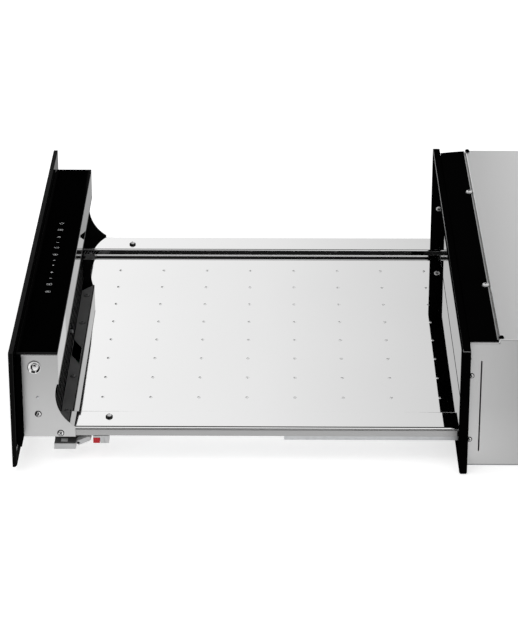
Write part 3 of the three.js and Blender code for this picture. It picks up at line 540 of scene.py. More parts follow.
def turned(name, axis, centre, base, profile, steps=32, way=1):
    """A profile of (radius, height) points spun round a line along an axis."""
    places = [at(axis, (centre[0] + radius, centre[1]), base + way * height) for radius, height in profile]
    piece = chain(name, places)
    bpy.ops.mesh.spin(steps=steps, angle=2 * math.pi, center=at(axis, centre, base), axis=UNIT[axis])
    bpy.ops.mesh.select_all(action="SELECT")
    bpy.ops.mesh.remove_doubles(threshold=1e-6)
    bpy.ops.mesh.normals_make_consistent(inside=False)
    bpy.ops.object.mode_set(mode="OBJECT")
    return smooth(piece)


def cut_out(piece, *tools):
    """Takes the tools' shapes out of a piece."""
    for tool in tools:
        apply(piece, "BOOLEAN", object=tool, operation="DIFFERENCE", solver="EXACT")
        bpy.data.objects.remove(tool)
    return piece


def merged(name, *pieces):
    """Joins pieces into one, each keeping its own closed shape."""
    take_up(*pieces)
    bpy.ops.object.join()
    return named(pieces[0], name)


def copied(piece, name, move=(0, 0, 0), turn=None):
    """A copy with its own mesh, turned about the origin and then moved by mm."""
    take_up(piece)
    bpy.ops.object.duplicate()
    copy = named(bpy.context.object, name)
    if turn:
        copy.rotation_euler = [math.radians(angle) for angle in turn]
    copy.location = Vector(move) * MM
    return settled(copy)


def mirrored(piece):
    """The same piece on the left."""
    copy = copied(piece, piece.name.replace("right", "left"))
    copy.scale.x = -1
    with shaping(settled(copy)):
        bpy.ops.mesh.flip_normals()
    return smooth(copy)


def arc(centre, radius, start, end, steps):
    angles = [math.radians(start + (end - start) * i / steps) for i in range(steps + 1)]
    return [(centre[0] + radius * math.cos(a), centre[1] + radius * math.sin(a)) for a in angles]


def other_half(half):
    """The left half of a line or outline, going back from the end of the right half."""
    return [(-x, z) for x, z in reversed(half)]


def fitted(body, piece, *nodes):
    """Lets a piece ride on a body and stand for CAD nodes."""
    if nodes:
        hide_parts(*nodes)
    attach(piece, body)
    return piece


def paired(right, node):
    """Fits a piece of the drawer and its mirror image."""
    left = mirrored(right)
    fitted("drawer", right, f"right_{node}")
    fitted("drawer", left, f"left_{node}")


# ---- Fasteners, modelled once at the origin with their heads up ----


def pan_head(name, radius, height, side=0.25):
    """A pan head with a cross recess, over a thin ring painted dark as shade; the recess is painted dark as shade too.
    Side is the share of its height below the dome.
    """
    angles = (1.57, 1.3, 1.0, 0.7, 0.4, 0)
    crown = [(radius * math.sin(a), height * (side + (1 - side) * math.cos(a))) for a in angles]
    profile = [(0, -0.4), (radius * 0.9, -0.4), (radius, 0), *crown]
    head = dress(turned(name, "z", (0, 0), 0, profile, 24), "zinc_plate", SCREW_STEEL, DARK_PARTS_AND_RECESS_SHADE)
    rim = radius + 0.8
    shade_ring = turned("shade_ring", "z", (0, 0), 0, [(0, -0.3), (rim, -0.3), (rim, 0.12), (0, 0.12)], 24)
    coated(dress(shade_ring, "zinc_plate", SCREW_STEEL, DARK_PARTS_AND_RECESS_SHADE), 1)
    arm, half, depth = radius * 0.64, radius * 0.14, (height * 0.35, height + 1)
    for x, y in ((arm, half), (half, arm)):
        tool = finished(block("tool", (-x, x), (-y, y), depth), SCREW_STEEL, DARK_PARTS_AND_RECESS_SHADE)
        cut_out(head, coated(tool, 1))
    return merged(name, smooth(head), shade_ring)


SMALL_HEAD = pan_head("small_head", 2.9, 1.9)
COVER_HEAD = pan_head("cover_head", 3.5, 2.9, 0.5)
TAB_HEAD = pan_head("tab_head", 2.2, 1.7)
TURN_TO = {"+x": (0, 90, 0), "-x": (0, -90, 0), "+y": (-90, 0, 0), "-y": (90, 0, 0), "+z": None, "-z": (180, 0, 0)}


def screws(name, head, way, places, finish=SCREW_STEEL):
    """Copies of a head at these places, each recess turned further, joined into one piece."""
    copies = []
    for index, place in enumerate(places):
        copy = copied(head, f"{name}_{index}", turn=TURN_TO[way])
        take_up(copy)
        spin = math.radians(23 + 31 * index)
        bpy.ops.transform.rotate(value=spin, orient_axis=way[1].upper(), center_override=(0, 0, 0))
        copy.location = Vector(place) * MM
        copies.append(settled(copy))
    # The recesses keep the near-black finish, painted shade.
    return dress(merged(name, *copies), "zinc_plate", finish, DARK_PARTS_AND_RECESS_SHADE)


# ---- Front: glass, frame and control glass ----

glass_x, glass_y, glass_z = span("fascia_glass")
frame_x, frame_y, frame_z = span("fascia_frame")
control_x, control_y, control_z = span("control_glass")
GLASS_PARTS = (ARRIS_AND_EDGE_HIGHLIGHT, GLASS_EDGE, SHADED_GLASS_END, GLASS_BACK)
ARRIS, EDGE, SHADED_END, BACK = range(1, 5)


def fascia_pane():
    """The front glass, ground off at the bottom of its back, which is printed dark below the plate."""
    pane = block("front_pane", glass_x, glass_y, glass_z)
    dress(pane, "black_glass", FINISHES["black_glass"], *GLASS_PARTS)
    foot = frame_z[0] * MM
    with shaping(pane):
        choose_edges(pane, lambda edge: lies(edge, y=glass_y[1], z=glass_z[0]))
        bpy.ops.mesh.bevel(offset=2.3 * MM, segments=1)
        bpy.ops.mesh.select_all(action="SELECT")
        bpy.ops.mesh.bisect(plane_co=(0, 0, foot), plane_no=(0, 0, 1))
    # The pane's ends take the darker edge copy, painted shade.
    coated(pane, SHADED_END, lambda face: abs(face.normal.x) > 0.9)
    coated(pane, BACK, lambda face: face.normal.y > 0.9)
    coated(pane, EDGE, lambda face: face.normal.z > 0.9 or face.normal.y > 0.5 and face.center.z < foot)
    return ease(pane, 0.6, trim=ARRIS)


def fascia_frame():
    """The plate behind the glass, its ends lower than the front box between them."""
    shoulder_x, shoulder_z = 266.3, frame_z[1] - 9.3
    half = [(frame_x[1], frame_z[0]), (frame_x[1], shoulder_z), (shoulder_x, shoulder_z), (shoulder_x, frame_z[1])]
    piece = plate("front_frame", "y", half + other_half(half), *frame_y, 0.6, 1)
    # The frame's rounded edges take the arris grey as a painted highlight.
    return dress(piece, "black_plastic", FINISHES["black_paint"], ARRIS_AND_EDGE_HIGHLIGHT)


def control_pane():
    """The glass on top of the front box, its back and ends seen through."""
    pane = dress(block("control_pane", control_x, control_y, control_z), "black_glass", CONTROL_GLASS, *GLASS_PARTS)
    coated(pane, EDGE, lambda face: face.normal.y > 0.9 or abs(face.normal.x) > 0.9)
    return ease(pane, 0.45, trim=ARRIS)


fitted("drawer", fascia_pane(), "fascia_glass")
fitted("drawer", fascia_frame(), "fascia_frame")
fitted("drawer", control_pane(), "control_glass")

# The sides of each mark, its turn in degrees and whether it is an outline.
MARK_SHAPES = {
    "ring": (28, 0, True),
    "drop": (3, 90, True),
    "square": (4, 45, True),
    "dot": (20, 0, False),
    "bar": (4, 45, False),
}
# Shape, place along the glass, place across it, width and height, before the row is narrowed to these shares.
MARK_Y, ACROSS, ALONG = -716.5, 0.7, 0.86
MARKS = [
    ("ring", -90.1, 0, 6.6, 5.0),
    ("square", -70.4, -1.9, 4.2, 4.2),
    ("square", -70.4, 2.6, 3.0, 4.2),
    ("drop", -48.8, 0, 7.0, 6.0),
    ("bar", -32.0, 0, 3.4, 0.8),
    ("ring", -17.1, 0, 7.8, 3.6),
    ("ring", 3.5, 0, 8.0, 4.8),
    ("dot", 3.5, 0, 2.0, 1.6),
    ("bar", 20.1, 0, 3.4, 0.8),
    ("dot", 34.5, 0, 2.2, 2.0),
    ("bar", 54.4, 0, 4.2, 0.9),
    ("bar", 54.4, 0, 0.9, 4.2),
    ("bar", 71.3, 0, 3.4, 0.8),
    ("square", 88.1, 0, 8.0, 5.0),
    ("dot", 88.1, 0, 2.0, 1.6),
    ("ring", 108.2, 0, 8.4, 5.2),
    ("bar", 108.2, 0, 4.0, 0.9),
]


def mark(kind, x, across, width, height):
    """A touch mark printed on the control glass, its width along Y."""
    sides, turn, hollow = MARK_SHAPES[kind]
    radius = 0.5 / math.cos(math.radians(45)) if sides == 4 else 0.5
    take_up()
    angle = math.radians(turn)
    bpy.ops.mesh.primitive_circle_add(vertices=sides, radius=radius * MM, fill_type="NGON", rotation=(0, 0, angle))
    piece = started("mark")
    piece.scale = (height * ALONG, width * ACROSS, 1)
    piece.location = Vector((x, MARK_Y + across * ACROSS, control_z[1] - 0.04)) * MM
    with shaping(settled(piece)):
        if hollow:
            bpy.ops.mesh.inset(thickness=0.34 * MM)
            bpy.ops.mesh.delete(type="FACE")
            bpy.ops.mesh.select_all(action="SELECT")
        bpy.ops.mesh.extrude_region_move(TRANSFORM_OT_translate={"value": (0, 0, 0.07 * MM)})
        bpy.ops.mesh.select_all(action="SELECT")
        bpy.ops.mesh.normals_make_consistent(inside=False)
    return piece


touch_marks = merged("touch_marks", *(mark(*row) for row in MARKS))
fitted("drawer", dress(touch_marks, "pale_plastic", MARK_INK))

# ---- Front box ----

plate_x, plate_y, plate_z = span("right_box_plate")
strip_x, strip_y, strip_z = span("box_strip")
grille_x, grille_y, grille_z = span("air_grille")
plug_x, plug_y, plug_z = span("right_inspection_plug")
ceiling_z = span("deflector_panel")[2]
CUT_RADIUS, CUT_TOP, CUT_FOOT = 42.5, 13.5, 36.0  # the heights are from the cut's centre
CUT_CENTRE = (strip_y[1] + 38.7, strip_z[0] - CUT_TOP)
PLUG = [(0, 0), (7.0, 0), (7.0, 0.9), (6.8, 1.2), (6.2, 1.3), (4.4, 0.08)]
PLUG += [(4.0, 0.08), (3.8, 0.5), (3.2, 1.0), (2.2, 1.4), (1.1, 1.56), (0, 1.6)]
RIVET = [(0, 0), (1.5, 0), (1.4, 0.3), (0.8, 0.5), (0, 0.55)]
RIVET_PLACE = (-715.9, 72.5)
END_SCREWS = ((-716.0, 53.1), (-693.0, 30.9))
SEAL_HEIGHT = 3.6
NEAR_END = 158
HOOD_ROWS = 5
SENSOR_Z, SENSOR_GAP = 57.6, (-72, -48)


def end_plate():
    """The end plate of the front box, with its concave cut, satin outside in a darker copy of the steel as painted
    shade, dark inside, and a painted highlight along its outer top edge.
    """
    low, high = (math.degrees(math.asin(height / CUT_RADIUS)) for height in (CUT_FOOT, CUT_TOP))
    outline = [
        (plate_y[0], plate_z[0]),
        (plate_y[1], plate_z[0]),
        (plate_y[1], CUT_CENTRE[1] - CUT_FOOT),
        *arc(CUT_CENTRE, CUT_RADIUS, 180 + low, 180 - high, 40),
        (strip_y[1], strip_z[0]),
        (strip_y[1], plate_z[1]),
        (plate_y[0], plate_z[1]),
    ]
    piece = plate("right_end_plate", "x", outline, *plate_x)
    dress(piece, "satin_steel", SHADED_UPRIGHT_STEEL, DARK_INSIDE_AND_SEAL, SCREW_STEEL)
    coated(piece, 1, lambda face: face.normal.x < -0.9)
    with shaping(piece):
        # The outer top edge gets the bright screw steel: a painted highlight.
        choose_edges(piece, lambda edge: lies(edge, x=plate_x[1], z=plate_z[1]))
        bpy.ops.mesh.bevel(offset=0.9 * MM, segments=3, material=2)
    return ease(piece, 0.15)


def box_strip():
    """The bright strip along the front box, with a dark seal along its lower edge and a near end painted brighter with
    a lighter copy of its finish.
    """
    strip = block("steel_strip", strip_x, strip_y, strip_z)
    dress(strip, "satin_steel", STRIP_MIRROR, DARK_INSIDE_AND_SEAL, STRIP_NEAR_LIT)
    seal, near = (strip_z[0] + SEAL_HEIGHT) * MM, NEAR_END * MM
    with shaping(strip):
        bpy.ops.mesh.bisect(plane_co=(0, 0, seal), plane_no=(0, 0, 1))
        bpy.ops.mesh.select_all(action="SELECT")
        bpy.ops.mesh.bisect(plane_co=(near, 0, 0), plane_no=(1, 0, 0))
    # Painted light: the near end takes the lighter copy.
    coated(strip, 2, lambda face: face.center.x > near)
    coated(strip, 1, lambda face: face.center.z < seal)
    return ease(strip, 0.3)


def louvre_hoods():
    """Pressed hoods over the slots of the air grille, open at their lower side and parted at the sensor."""
    side, face = grille_x[1] - 8, grille_y[1]
    pitch = (grille_z[1] - grille_z[0] - 24) / (HOOD_ROWS - 1)
    hoods = []
    for row in range(HOOD_ROWS):
        z = grille_z[0] + 9 + row * pitch
        line = [(face, z + 5.4), (face + 0.5, z + 4.6), (face + 1.1, z + 0.6)]
        outline = [(face - 0.1, z + 0.6), (face + 1.1, z + 0.6), (face + 0.5, z + 4.6), (face - 0.1, z + 5.4)]
        parted = abs(SENSOR_Z - z - 3) < 6
        for start, end in ((-side, SENSOR_GAP[0]), (SENSOR_GAP[1], side)) if parted else ((-side, side),):
            hoods.append(sheet("hood", "x", line, start, end, 0.5, 0.5))
            hoods += [plate("hood", "x", outline, x, x + 0.5) for x in (start, end - 0.5)]
    return dress(smooth(merged("louvre_hoods", *hoods)), "black_plastic", HOOD_COAT)


paired(end_plate(), "box_plate")
plug = turned("right_plug", "x", (mid(plug_y), mid(plug_z)), plug_x[0], PLUG, 40)
paired(dress(plug, "mirror_steel", SCREW_STEEL), "inspection_plug")
fitted("drawer", box_strip(), "box_strip")
fitted("drawer", louvre_hoods())
ceiling_places = [(x, -701, ceiling_z[0]) for x in (-232, -150, 0, 90, 166, 236)]
# The ceiling screws take the lighter ceiling coat, painted light.
fitted("drawer", screws("ceiling_screws", SMALL_HEAD, "-z", ceiling_places, LIT_CEILING_COAT))
for side, sign in SIDES:
    places = [(sign * plate_x[1], *place) for place in END_SCREWS]
    fitted("drawer", screws(f"{side}_end_screws", SMALL_HEAD, OUTWARDS[sign], places))
    rivet = turned(f"{side}_rivet", "x", RIVET_PLACE, sign * plate_x[1], RIVET, 16, sign)
    fitted("drawer", dress(rivet, "zinc_plate"))

# ---- Tray ----

tray_x, tray_y, _ = span("drawer_tray")
wall_x, wall_y, wall_z = span("rear_wall")
screw_x, screw_y, screw_z = span("right_tray_screw")
FLANGE_Z = 36.4
FLOOR_Z = 29.0
FLOOR_X = 223.0
STEP_LEAN = 0.6
SHEET = 1.0
DIMPLE = [(1.95, -0.03), (1.85, 0.0), (1.7, 0.3), (1.32, 0.6), (0.9, 0.78), (0.45, 0.87), (0, 0.9)]
SCREW_CUP = [(0, 0), (3.8, 0), (3.8, 0.9), (3.4, 1.4), (2.8, 1.2), (0, 1.2)]
SCREW_DOME = [(0, 1.1), (2.6, 1.1), (2.5, 1.9), (2.1, 2.6), (1.4, 3.1), (0.7, 3.3), (0, 3.35)]


def tray_pan():
    """The polished floor with a step up to a flange on each side and a short lip down."""
    edge, lip = tray_x[1] - SHEET / 2 - 2.4, 2.1
    floor, flange = FLOOR_Z - SHEET / 2, FLANGE_Z - SHEET / 2
    half = [
        (FLOOR_X + SHEET / 2, floor),
        (FLOOR_X + STEP_LEAN + SHEET / 2, flange),
        (edge - 2.8, flange),
        *reversed(arc((edge - lip, flange - lip), lip, 32, 84, 6)),
    ]
    pan = sheet("tray_pan", "y", other_half(half) + half, *tray_y, SHEET, 1.7)
    for side in (-1, 1):
        ends = (side * (plate_x[0] - 0.3), side * (tray_x[1] + 1))
        cut_out(pan, block("tool", ends, (tray_y[0] - 1, plate_y[1] + 0.3), (FLOOR_Z, FLANGE_Z + 1)))
    return dress(smooth(pan), "mirror_steel")


def pressed_dimples():
    """Small domes pressed up from the floor, so that dishes don't slide."""
    first = turned("dimple", "z", (0, 0), FLOOR_Z, DIMPLE, 14)
    places = [((row - 3.5) * 50, tray_y[1] - 22.2 - column * 52.1, 0) for row in range(8) for column in range(8)]
    copies = [copied(first, "dimple", place) for place in places]
    bpy.data.objects.remove(first)
    return dress(merged("tray_dimples", *copies), "mirror_steel")


def rear_wall():
    """The tray's upright rear wall, with a hem folded back along its top."""
    bend = FLOOR_X + STEP_LEAN + SHEET
    half = [(bend, wall_z[0]), (bend, FLANGE_Z - SHEET), (wall_x[1], FLANGE_Z - SHEET), (wall_x[1], wall_z[1])]
    upright = plate("rear_wall_sheet", "y", half + other_half(half), *wall_y, 0.3)
    top, reach = wall_z[1] - 0.6, wall_y[1] + 7
    line = [(wall_y[1] - 0.2, top), (reach, top), (reach, top - 4)]
    hem = sheet("rear_wall_hem", "x", line, wall_x[0] + 2, wall_x[1] - 2, 1.0, 1.2)
    # The wall takes the darker mirror copy, painted shade.
    return dress(merged("tray_rear_wall", upright, hem), "mirror_steel", SHADED_WALL_MIRROR)


def tray_screw(name, x):
    """A bright domed screw with its socket painted dark as shade, in a dark cup washer."""
    centre, base = (x, mid(screw_y)), screw_z[0]
    washer = dress(turned(name, "z", centre, base, SCREW_CUP, 28), "zinc_plate", DARK_PARTS_AND_RECESS_SHADE, DULL_STEEL)
    dome = dress(turned("dome", "z", centre, base, SCREW_DOME, 24), "zinc_plate", DARK_PARTS_AND_RECESS_SHADE, DULL_STEEL)
    tool = turned("tool", "z", centre, base + 2.4, [(0, 0), (0.7, 0), (0.75, 2), (0, 2)], 6)
    cut_out(coated(dome, 1), finished(tool, DARK_PARTS_AND_RECESS_SHADE))
    return merged(name, washer, smooth(dome))


fitted("drawer", tray_pan(), "drawer_tray")
fitted("drawer", pressed_dimples())
fitted("drawer", rear_wall(), "rear_wall")
for side, sign in SIDES:
    fitted("drawer", tray_screw(f"{side}_tray_screw_head", sign * mid(screw_x)), f"{side}_tray_screw")

# ---- Rails and slides ----

SLIDE_WALL = 1.3
RAIL_FOOT = 8.8


def channel(name, node):
    """A channel that opens downwards, in a CAD node's place."""
    x, y, z = span(node)
    half = SLIDE_WALL / 2
    line = [(x[0] + half, z[0]), (x[0] + half, z[1] - half), (x[1] - half, z[1] - half), (x[1] - half, z[0])]
    return dress(sheet(name, "y", line, *y, SLIDE_WALL, 1.6), "zinc_plate")


def cabinet_rail(name, node):
    """The cabinet's rail: a channel on two feet."""
    x, y, z = span(node)
    low, high = z[0] + SLIDE_WALL / 2, z[1] - SLIDE_WALL / 2
    reach = (x[1] - x[0] - SLIDE_WALL) / 2 - RAIL_FOOT
    left, right = mid(x) - reach, mid(x) + reach
    line = [(x[0], low), (left, low), (left, high), (right, high), (right, low), (x[1], low)]
    return dress(sheet(name, "y", line, *y, SLIDE_WALL, 1.2), "zinc_plate")


def tray_rail(side, sign):
    """The rail under a flange, open to the inside, with a slit in its outer wall."""
    x, y, z = span(f"{side}_side_rail")
    outer, inner = x[::-sign]
    wall, low, high = outer - sign * SHEET / 2, z[0] + SHEET / 2, z[1] - SHEET / 2
    rail = sheet(f"{side}_tray_rail", "y", [(inner, high), (wall, high), (wall, low), (inner, low)], *y, SHEET, 1.1)
    # The rail takes the darker copy of the steel, painted shade.
    dress(rail, "satin_steel", SHADED_RAIL_STEEL)
    slit = block("tool", (outer - sign * 3, outer + sign), (-276.0, -274.4), (z[0] + 0.8, z[1] + 1))
    return smooth(cut_out(rail, slit))


def ball_cage(name, node):
    """A strip with two rows of five balls."""
    x, y, z = span(node)
    strip = block(name, x, y, (mid(z) - 0.4, mid(z) + 0.4), 0.3)
    balls = []
    for row in (-3, 3):
        for i in range(5):
            place = Vector((mid(x) + row, mid(y) + (i - 2) * 32, mid(z))) * MM
            take_up()
            bpy.ops.mesh.primitive_uv_sphere_add(segments=14, ring_count=8, radius=1.0 * MM, location=place)
            balls.append(smooth(started("ball"), 60))
    return dress(merged(name, strip, *balls), "zinc_plate", SCREW_STEEL)


for side, sign in SIDES:
    fitted("drawer", tray_rail(side, sign), f"{side}_side_rail")
    for body, name, node, make in (
        ("drawer", "drawer_runner", "slide_runner", channel),
        (f"{side}_member", "middle_member", "slide_member", channel),
        ("cabinet", "cabinet_rail", "slide_rail", cabinet_rail),
        (f"{side}_lower_cage", "lower_cage", "lower_ball_cage", ball_cage),
        (f"{side}_upper_cage", "upper_cage", "upper_ball_cage", ball_cage),
    ):
        fitted(body, make(f"{side}_{name}", f"{side}_{node}"), f"{side}_{node}")

# ---- Front couplings ----

LEVER_ROUND = 2.6
LEVER_REACH, LEVER_RISE = 10.4, 4.6
COUPLING_DEPTH = 23


def coupling(side, sign):
    """The clip that holds the drawer on its slide: a pale body with a dark cover and a pressed slot."""
    x, y, z = span(f"{side}_coupling_housing")
    outer, inner = x[::-sign]
    front, back, low = y[0], y[0] + COUPLING_DEPTH, z[0]
    body = block(f"{side}_coupling", (inner, outer), (front, back), (low, low + 6.2), 0.8, 3)
    ends = (outer - sign * 0.6, outer - sign * 4)
    rib = block("rib", ends, (front + 2.5, back - 2.5), (low + 1.4, low + 1.9), 0.2)
    web = block("web", (inner, inner + sign * 2.7), (front, y[1]), (low, z[1]), 0.3)
    fitted("drawer", dress(merged(f"{side}_coupling", body, rib), "pale_plastic"))
    ends = (inner + sign * 0.2, outer - sign * 1.1)
    cover = block("cover", ends, (front + 0.2, back - 0.2), (low + 6.2, low + 7), 0.3)
    dark = dress(merged(f"{side}_coupling_cover", cover, web), "grey_panel")
    fitted("drawer", dark, f"{side}_coupling_housing")
    ends = (inner + sign * 6, outer - sign * 4)
    slot = block(f"{side}_coupling_slot", ends, (front + 7, front + 14), (low + 6.8, low + 7.15), 0.14)
    fitted("drawer", dress(slot, "pale_plastic"))


def release_lever(side, sign):
    """A flattened tube with a dark hub, which frees the drawer when it is squeezed."""
    x, y, z = span(f"{side}_release_lever")
    outer = x[::-sign][0]
    pivot = (y[0] + LEVER_ROUND, z[0] + LEVER_ROUND)
    tip = (pivot[0] + LEVER_REACH, pivot[1] + LEVER_RISE)
    angle = math.degrees(math.atan2(LEVER_RISE, LEVER_REACH))
    outline = arc(tip, LEVER_ROUND, angle - 90, angle + 90, 12) + arc(pivot, LEVER_ROUND, angle + 90, angle + 270, 12)
    arm = plate(f"{side}_lever_arm", "x", outline, *sorted((outer, outer - sign * 10)), 0.5)
    dress(arm, "pale_plastic", FINISHES["pale_plastic"], DARK_PARTS_AND_RECESS_SHADE)
    pin = turned("pin", "x", pivot, outer - sign * 13, [(0, 0), (1.4, 0), (1.4, 4), (0, 4)], 16, sign)
    profile = [(0, 0), (1.9, 0), (1.9, 0.22), (1.4, 0.3), (0, 0.3)]
    hub = turned("hub", "x", (pivot[0] - 0.6, pivot[1]), outer - sign * 0.3, profile, 20, sign)
    return merged(f"{side}_lever_arm", arm, pin, dress(hub, "pale_plastic", DARK_PARTS_AND_RECESS_SHADE, DARK_PARTS_AND_RECESS_SHADE))


def adjuster_knob(side, sign):
    """A red knob with three grip grooves in its outer side."""
    x, y, z = span(f"{side}_depth_adjuster")
    outer = x[::-sign][0]
    knob = block(f"{side}_adjuster_knob", x, y, z, 0.5, 3)
    for start in (y[0] + 1.2 + 1.8 * i for i in range(3)):
        cut_out(knob, block("tool", (outer - sign * 0.7, outer + sign), (start, start + 0.6), (z[0] - 1, z[1] + 1)))
    return dress(smooth(knob), "red_plastic")


def stop_block(side, sign):
    """The heel that the adjuster bears on, with a groove in its outer side."""
    x, y, z = span(f"{side}_stop_block")
    outer, heel = x[::-sign][0], y[1] - 9.3
    outline = [(y[1], z[0]), (y[1], z[1]), (y[0], z[1]), (y[0], z[1] - 2), (heel, z[1] - 2), (heel, z[0])]
    stop = plate(f"{side}_stop", "x", outline, *x, 0.5)
    groove = block("tool", (outer - sign * 0.8, outer + sign), (heel + 4, heel + 4.7), (z[0] + 1, z[1] - 1))
    return dress(smooth(cut_out(stop, groove)), "pale_plastic")


for side, sign in SIDES:
    coupling(side, sign)
    fitted(f"{side}_lever", release_lever(side, sign), f"{side}_release_lever")
    fitted(f"{side}_adjuster", adjuster_knob(side, sign), f"{side}_depth_adjuster")
    fitted("drawer", stop_block(side, sign), f"{side}_stop_block")

# ---- Cabinet ----

bezel_x, bezel_y, bezel_z = span("front_bezel")
cover_x, cover_y, cover_z = span("bezel_cover_strip")
panel_x, panel_y, panel_z = span("right_side_panel")
top_x, top_y, _ = span("cabinet_top")
back_x, back_y, back_z = span("cabinet_back")
gland_x, _, gland_z = span("mains_gland")
cap_x, cap_y, cap_z = span("right_cover_screw")
bolt_x, bolt_y, bolt_z = span("right_corner_bolt")
OPENING_X, OPENING_Z = 271.0, (10.0, 131.0)
REBATE_X = 277.3
STEP_Z, STEP_Y = 146 - 4.2 - 1 - 0.3, cover_y[1] + 2.6
ROOF_LOW, ROOF_HIGH, ROOF_STEP_Y = 141.3, 145.5, STEP_Y - 1.3 - 0.5
BOLT_HEAD = [(0, 0), (2.9, 0), (2.9, 0.4), (2.2, 0.5), (2.3, 1.5), (1.9, 2.0), (0, 2.1)]
GLAND_CENTRE = (mid(gland_x), mid(gland_z))
GLAND_RING = [(4.0, 0), (12, 0.3), (12, 1.8), (10.6, 2.8), (8.5, 3.4), (6.5, 4.2), (4.0, 4.3)]
GLAND_RING += [(4.0, -16), (8, -16), (8, 0)]
GLAND_NUT = [(8.1, 0), (11.6, 0), (12, 0.4), (12, 3.6), (11.6, 4.2), (8.1, 4.2), (8.1, 0)]
TAB_SCREWS = ((-264.0, 104.1), (-264.0, 30.6))
VENT_X, VENT_ROWS = [-206 + 26 * i for i in range(7)], ((100, 104), (112, 116))


def bezel():
    """The black front frame with a short return round its opening, a painted highlight on its top creases at the left
    and the near corner, and its foot rounded.
    """
    front, back = bezel_y
    face = block("bezel_frame", bezel_x, (front, front + 8.2), bezel_z)
    cut_out(face, block("tool", (-REBATE_X, REBATE_X), (front + 8.0, front + 12), (-1, bezel_z[1] + 1)))
    lip_z = (OPENING_Z[0] - 2, OPENING_Z[1] + 2)
    lip = block("lip", (-OPENING_X - 2, OPENING_X + 2), (front + 4, back), lip_z)
    apply(face, "BOOLEAN", object=lip, operation="UNION", solver="EXACT")
    bpy.data.objects.remove(lip)
    cut_out(face, block("tool", (-OPENING_X, OPENING_X), (front - 2, back + 2), OPENING_Z))
    dress(face, "black_paint", FINISHES["black_paint"], PAINTED_CORNER_HIGHLIGHT)

    def crease(edge):
        return lies(edge, z=bezel_z[1]) and (lies(edge, y=front) or lies(edge, x=bezel_x[1]))

    def foot(edge):
        return lies(edge, z=bezel_z[0]) and abs(edge.verts[0].co.y - edge.verts[1].co.y) < 1e-6

    with shaping(face):
        # The top creases get the painted highlight.
        choose_edges(face, crease)
        bpy.ops.mesh.bevel(offset=0.5 * MM, segments=2, material=1)
        choose_edges(face, foot)
        bpy.ops.mesh.bevel(offset=1.7 * MM, segments=4)
    return ease(face, 0.3)


def cover():
    """The painted strip over the front of the top panel, its rear edge chamfered and given a painted highlight, with a
    lip before it.
    """
    (front, rear), (low, high) = cover_y, cover_z
    outline = [
        (front, low - 1.0),
        (front + 0.5, low - 1.0),
        (front + 0.5, low),
        (rear, low),
        (rear, high - 1.2),
        (rear - 1.6, high),
        (mid(cover_y), high - 1),
        (front, low + 0.7),
    ]
    piece = plate("cover_strip", "x", outline, *cover_x)
    dress(piece, "black_paint", FINISHES["black_paint"], PAINTED_HIGHLIGHT)
    # The rear chamfer, and the lower edges at the near end, get the painted highlight.
    coated(piece, 1, lambda face: face.normal.y > 0.4 and face.normal.z > 0.3)
    limit = (low + 0.3) * MM
    with shaping(piece):
        choose_edges(piece, lambda e: lies(e, x=cover_x[1]) and all(end.co.z < limit for end in e.verts))
        bpy.ops.mesh.bevel(offset=0.4 * MM, segments=2, material=1)
    return ease(piece, 0.15)


def side_panel():
    """A steel side with a long slit and two short ones that free the screw tab behind the front frame."""
    front, fold = panel_y[0], STEP_Y - 1.2
    outline = [(front, panel_z[0]), (panel_y[1], panel_z[0]), (panel_y[1], panel_z[1]), (fold, panel_z[1])]
    outline += [(fold, STEP_Z), (front, STEP_Z)]
    ends = (panel_x[0] - 2, panel_x[1] + 2)
    piece = cut_out(
        plate("right_side_sheet", "x", outline, *panel_x),
        block("tool", ends, (-254.7, -253.3), (17, 121), 0.6),
        block("tool", ends, (front - 1, -264.4), (123.0, 123.7)),
        block("tool", ends, (front - 1, -265.2), (11.6, 12.3)),
    )
    # The sheet takes the darker panel steel with its painted light and shade.
    return dress(ease(piece, 0.18), "satin_steel", SHADED_PANEL_STEEL)


def roof():
    """The top panel, with a polished step down to the front frame."""
    line = [(top_y[0] + 0.6, ROOF_LOW), (ROOF_STEP_Y, ROOF_LOW), (ROOF_STEP_Y, ROOF_HIGH), (top_y[1], ROOF_HIGH)]
    piece = sheet("roof_sheet", "x", line, *top_x, 1.0, 1.4)
    dress(piece, "satin_steel", FINISHES["satin_steel"], FINISHES["mirror_steel"])
    return coated(piece, 1, lambda face: face.normal.y < -0.2)


def back_panel():
    """The zinc back with a hole for the gland and two rows of vent slots."""
    start, end = back_y[0] - 2, back_y[1] + 2
    tools = [turned("tool", "y", GLAND_CENTRE, start, [(0, 0), (8.3, 0), (8.3, 5), (0, 5)], 32)]
    tools += [block("tool", (x - 9, x + 9), (start, end), row, 1.2) for x in VENT_X for row in VENT_ROWS]
    piece = cut_out(block("back_sheet", back_x, back_y, back_z), *tools)
    return dress(ease(piece, 0.2), "zinc_plate")


def gland():
    """A cord gland with a domed ring outside and a hexagonal nut inside."""
    ring = turned("cord_gland", "y", GLAND_CENTRE, back_y[1], GLAND_RING, 36)
    nut = turned("nut", "y", GLAND_CENTRE, back_y[0] - 4.6, GLAND_NUT, 6)
    return dress(merged("cord_gland", ring, nut), "black_plastic")


fitted("cabinet", bezel(), "front_bezel")
fitted("cabinet", cover(), "bezel_cover_strip")
right_sheet = side_panel()
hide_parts("right_side_panel")
left_sheet = mirrored(right_sheet)  # the right sheet's mirror image stands for the left side panel
fitted("cabinet", left_sheet, "left_side_panel")
fitted("cabinet", right_sheet)
fitted("cabinet", roof(), "cabinet_top")
fitted("cabinet", dress(block("floor_sheet", *span("cabinet_base"), 0.25), "zinc_plate"), "cabinet_base")
fitted("cabinet", back_panel(), "cabinet_back")
fitted("cabinet", gland(), "mains_gland")

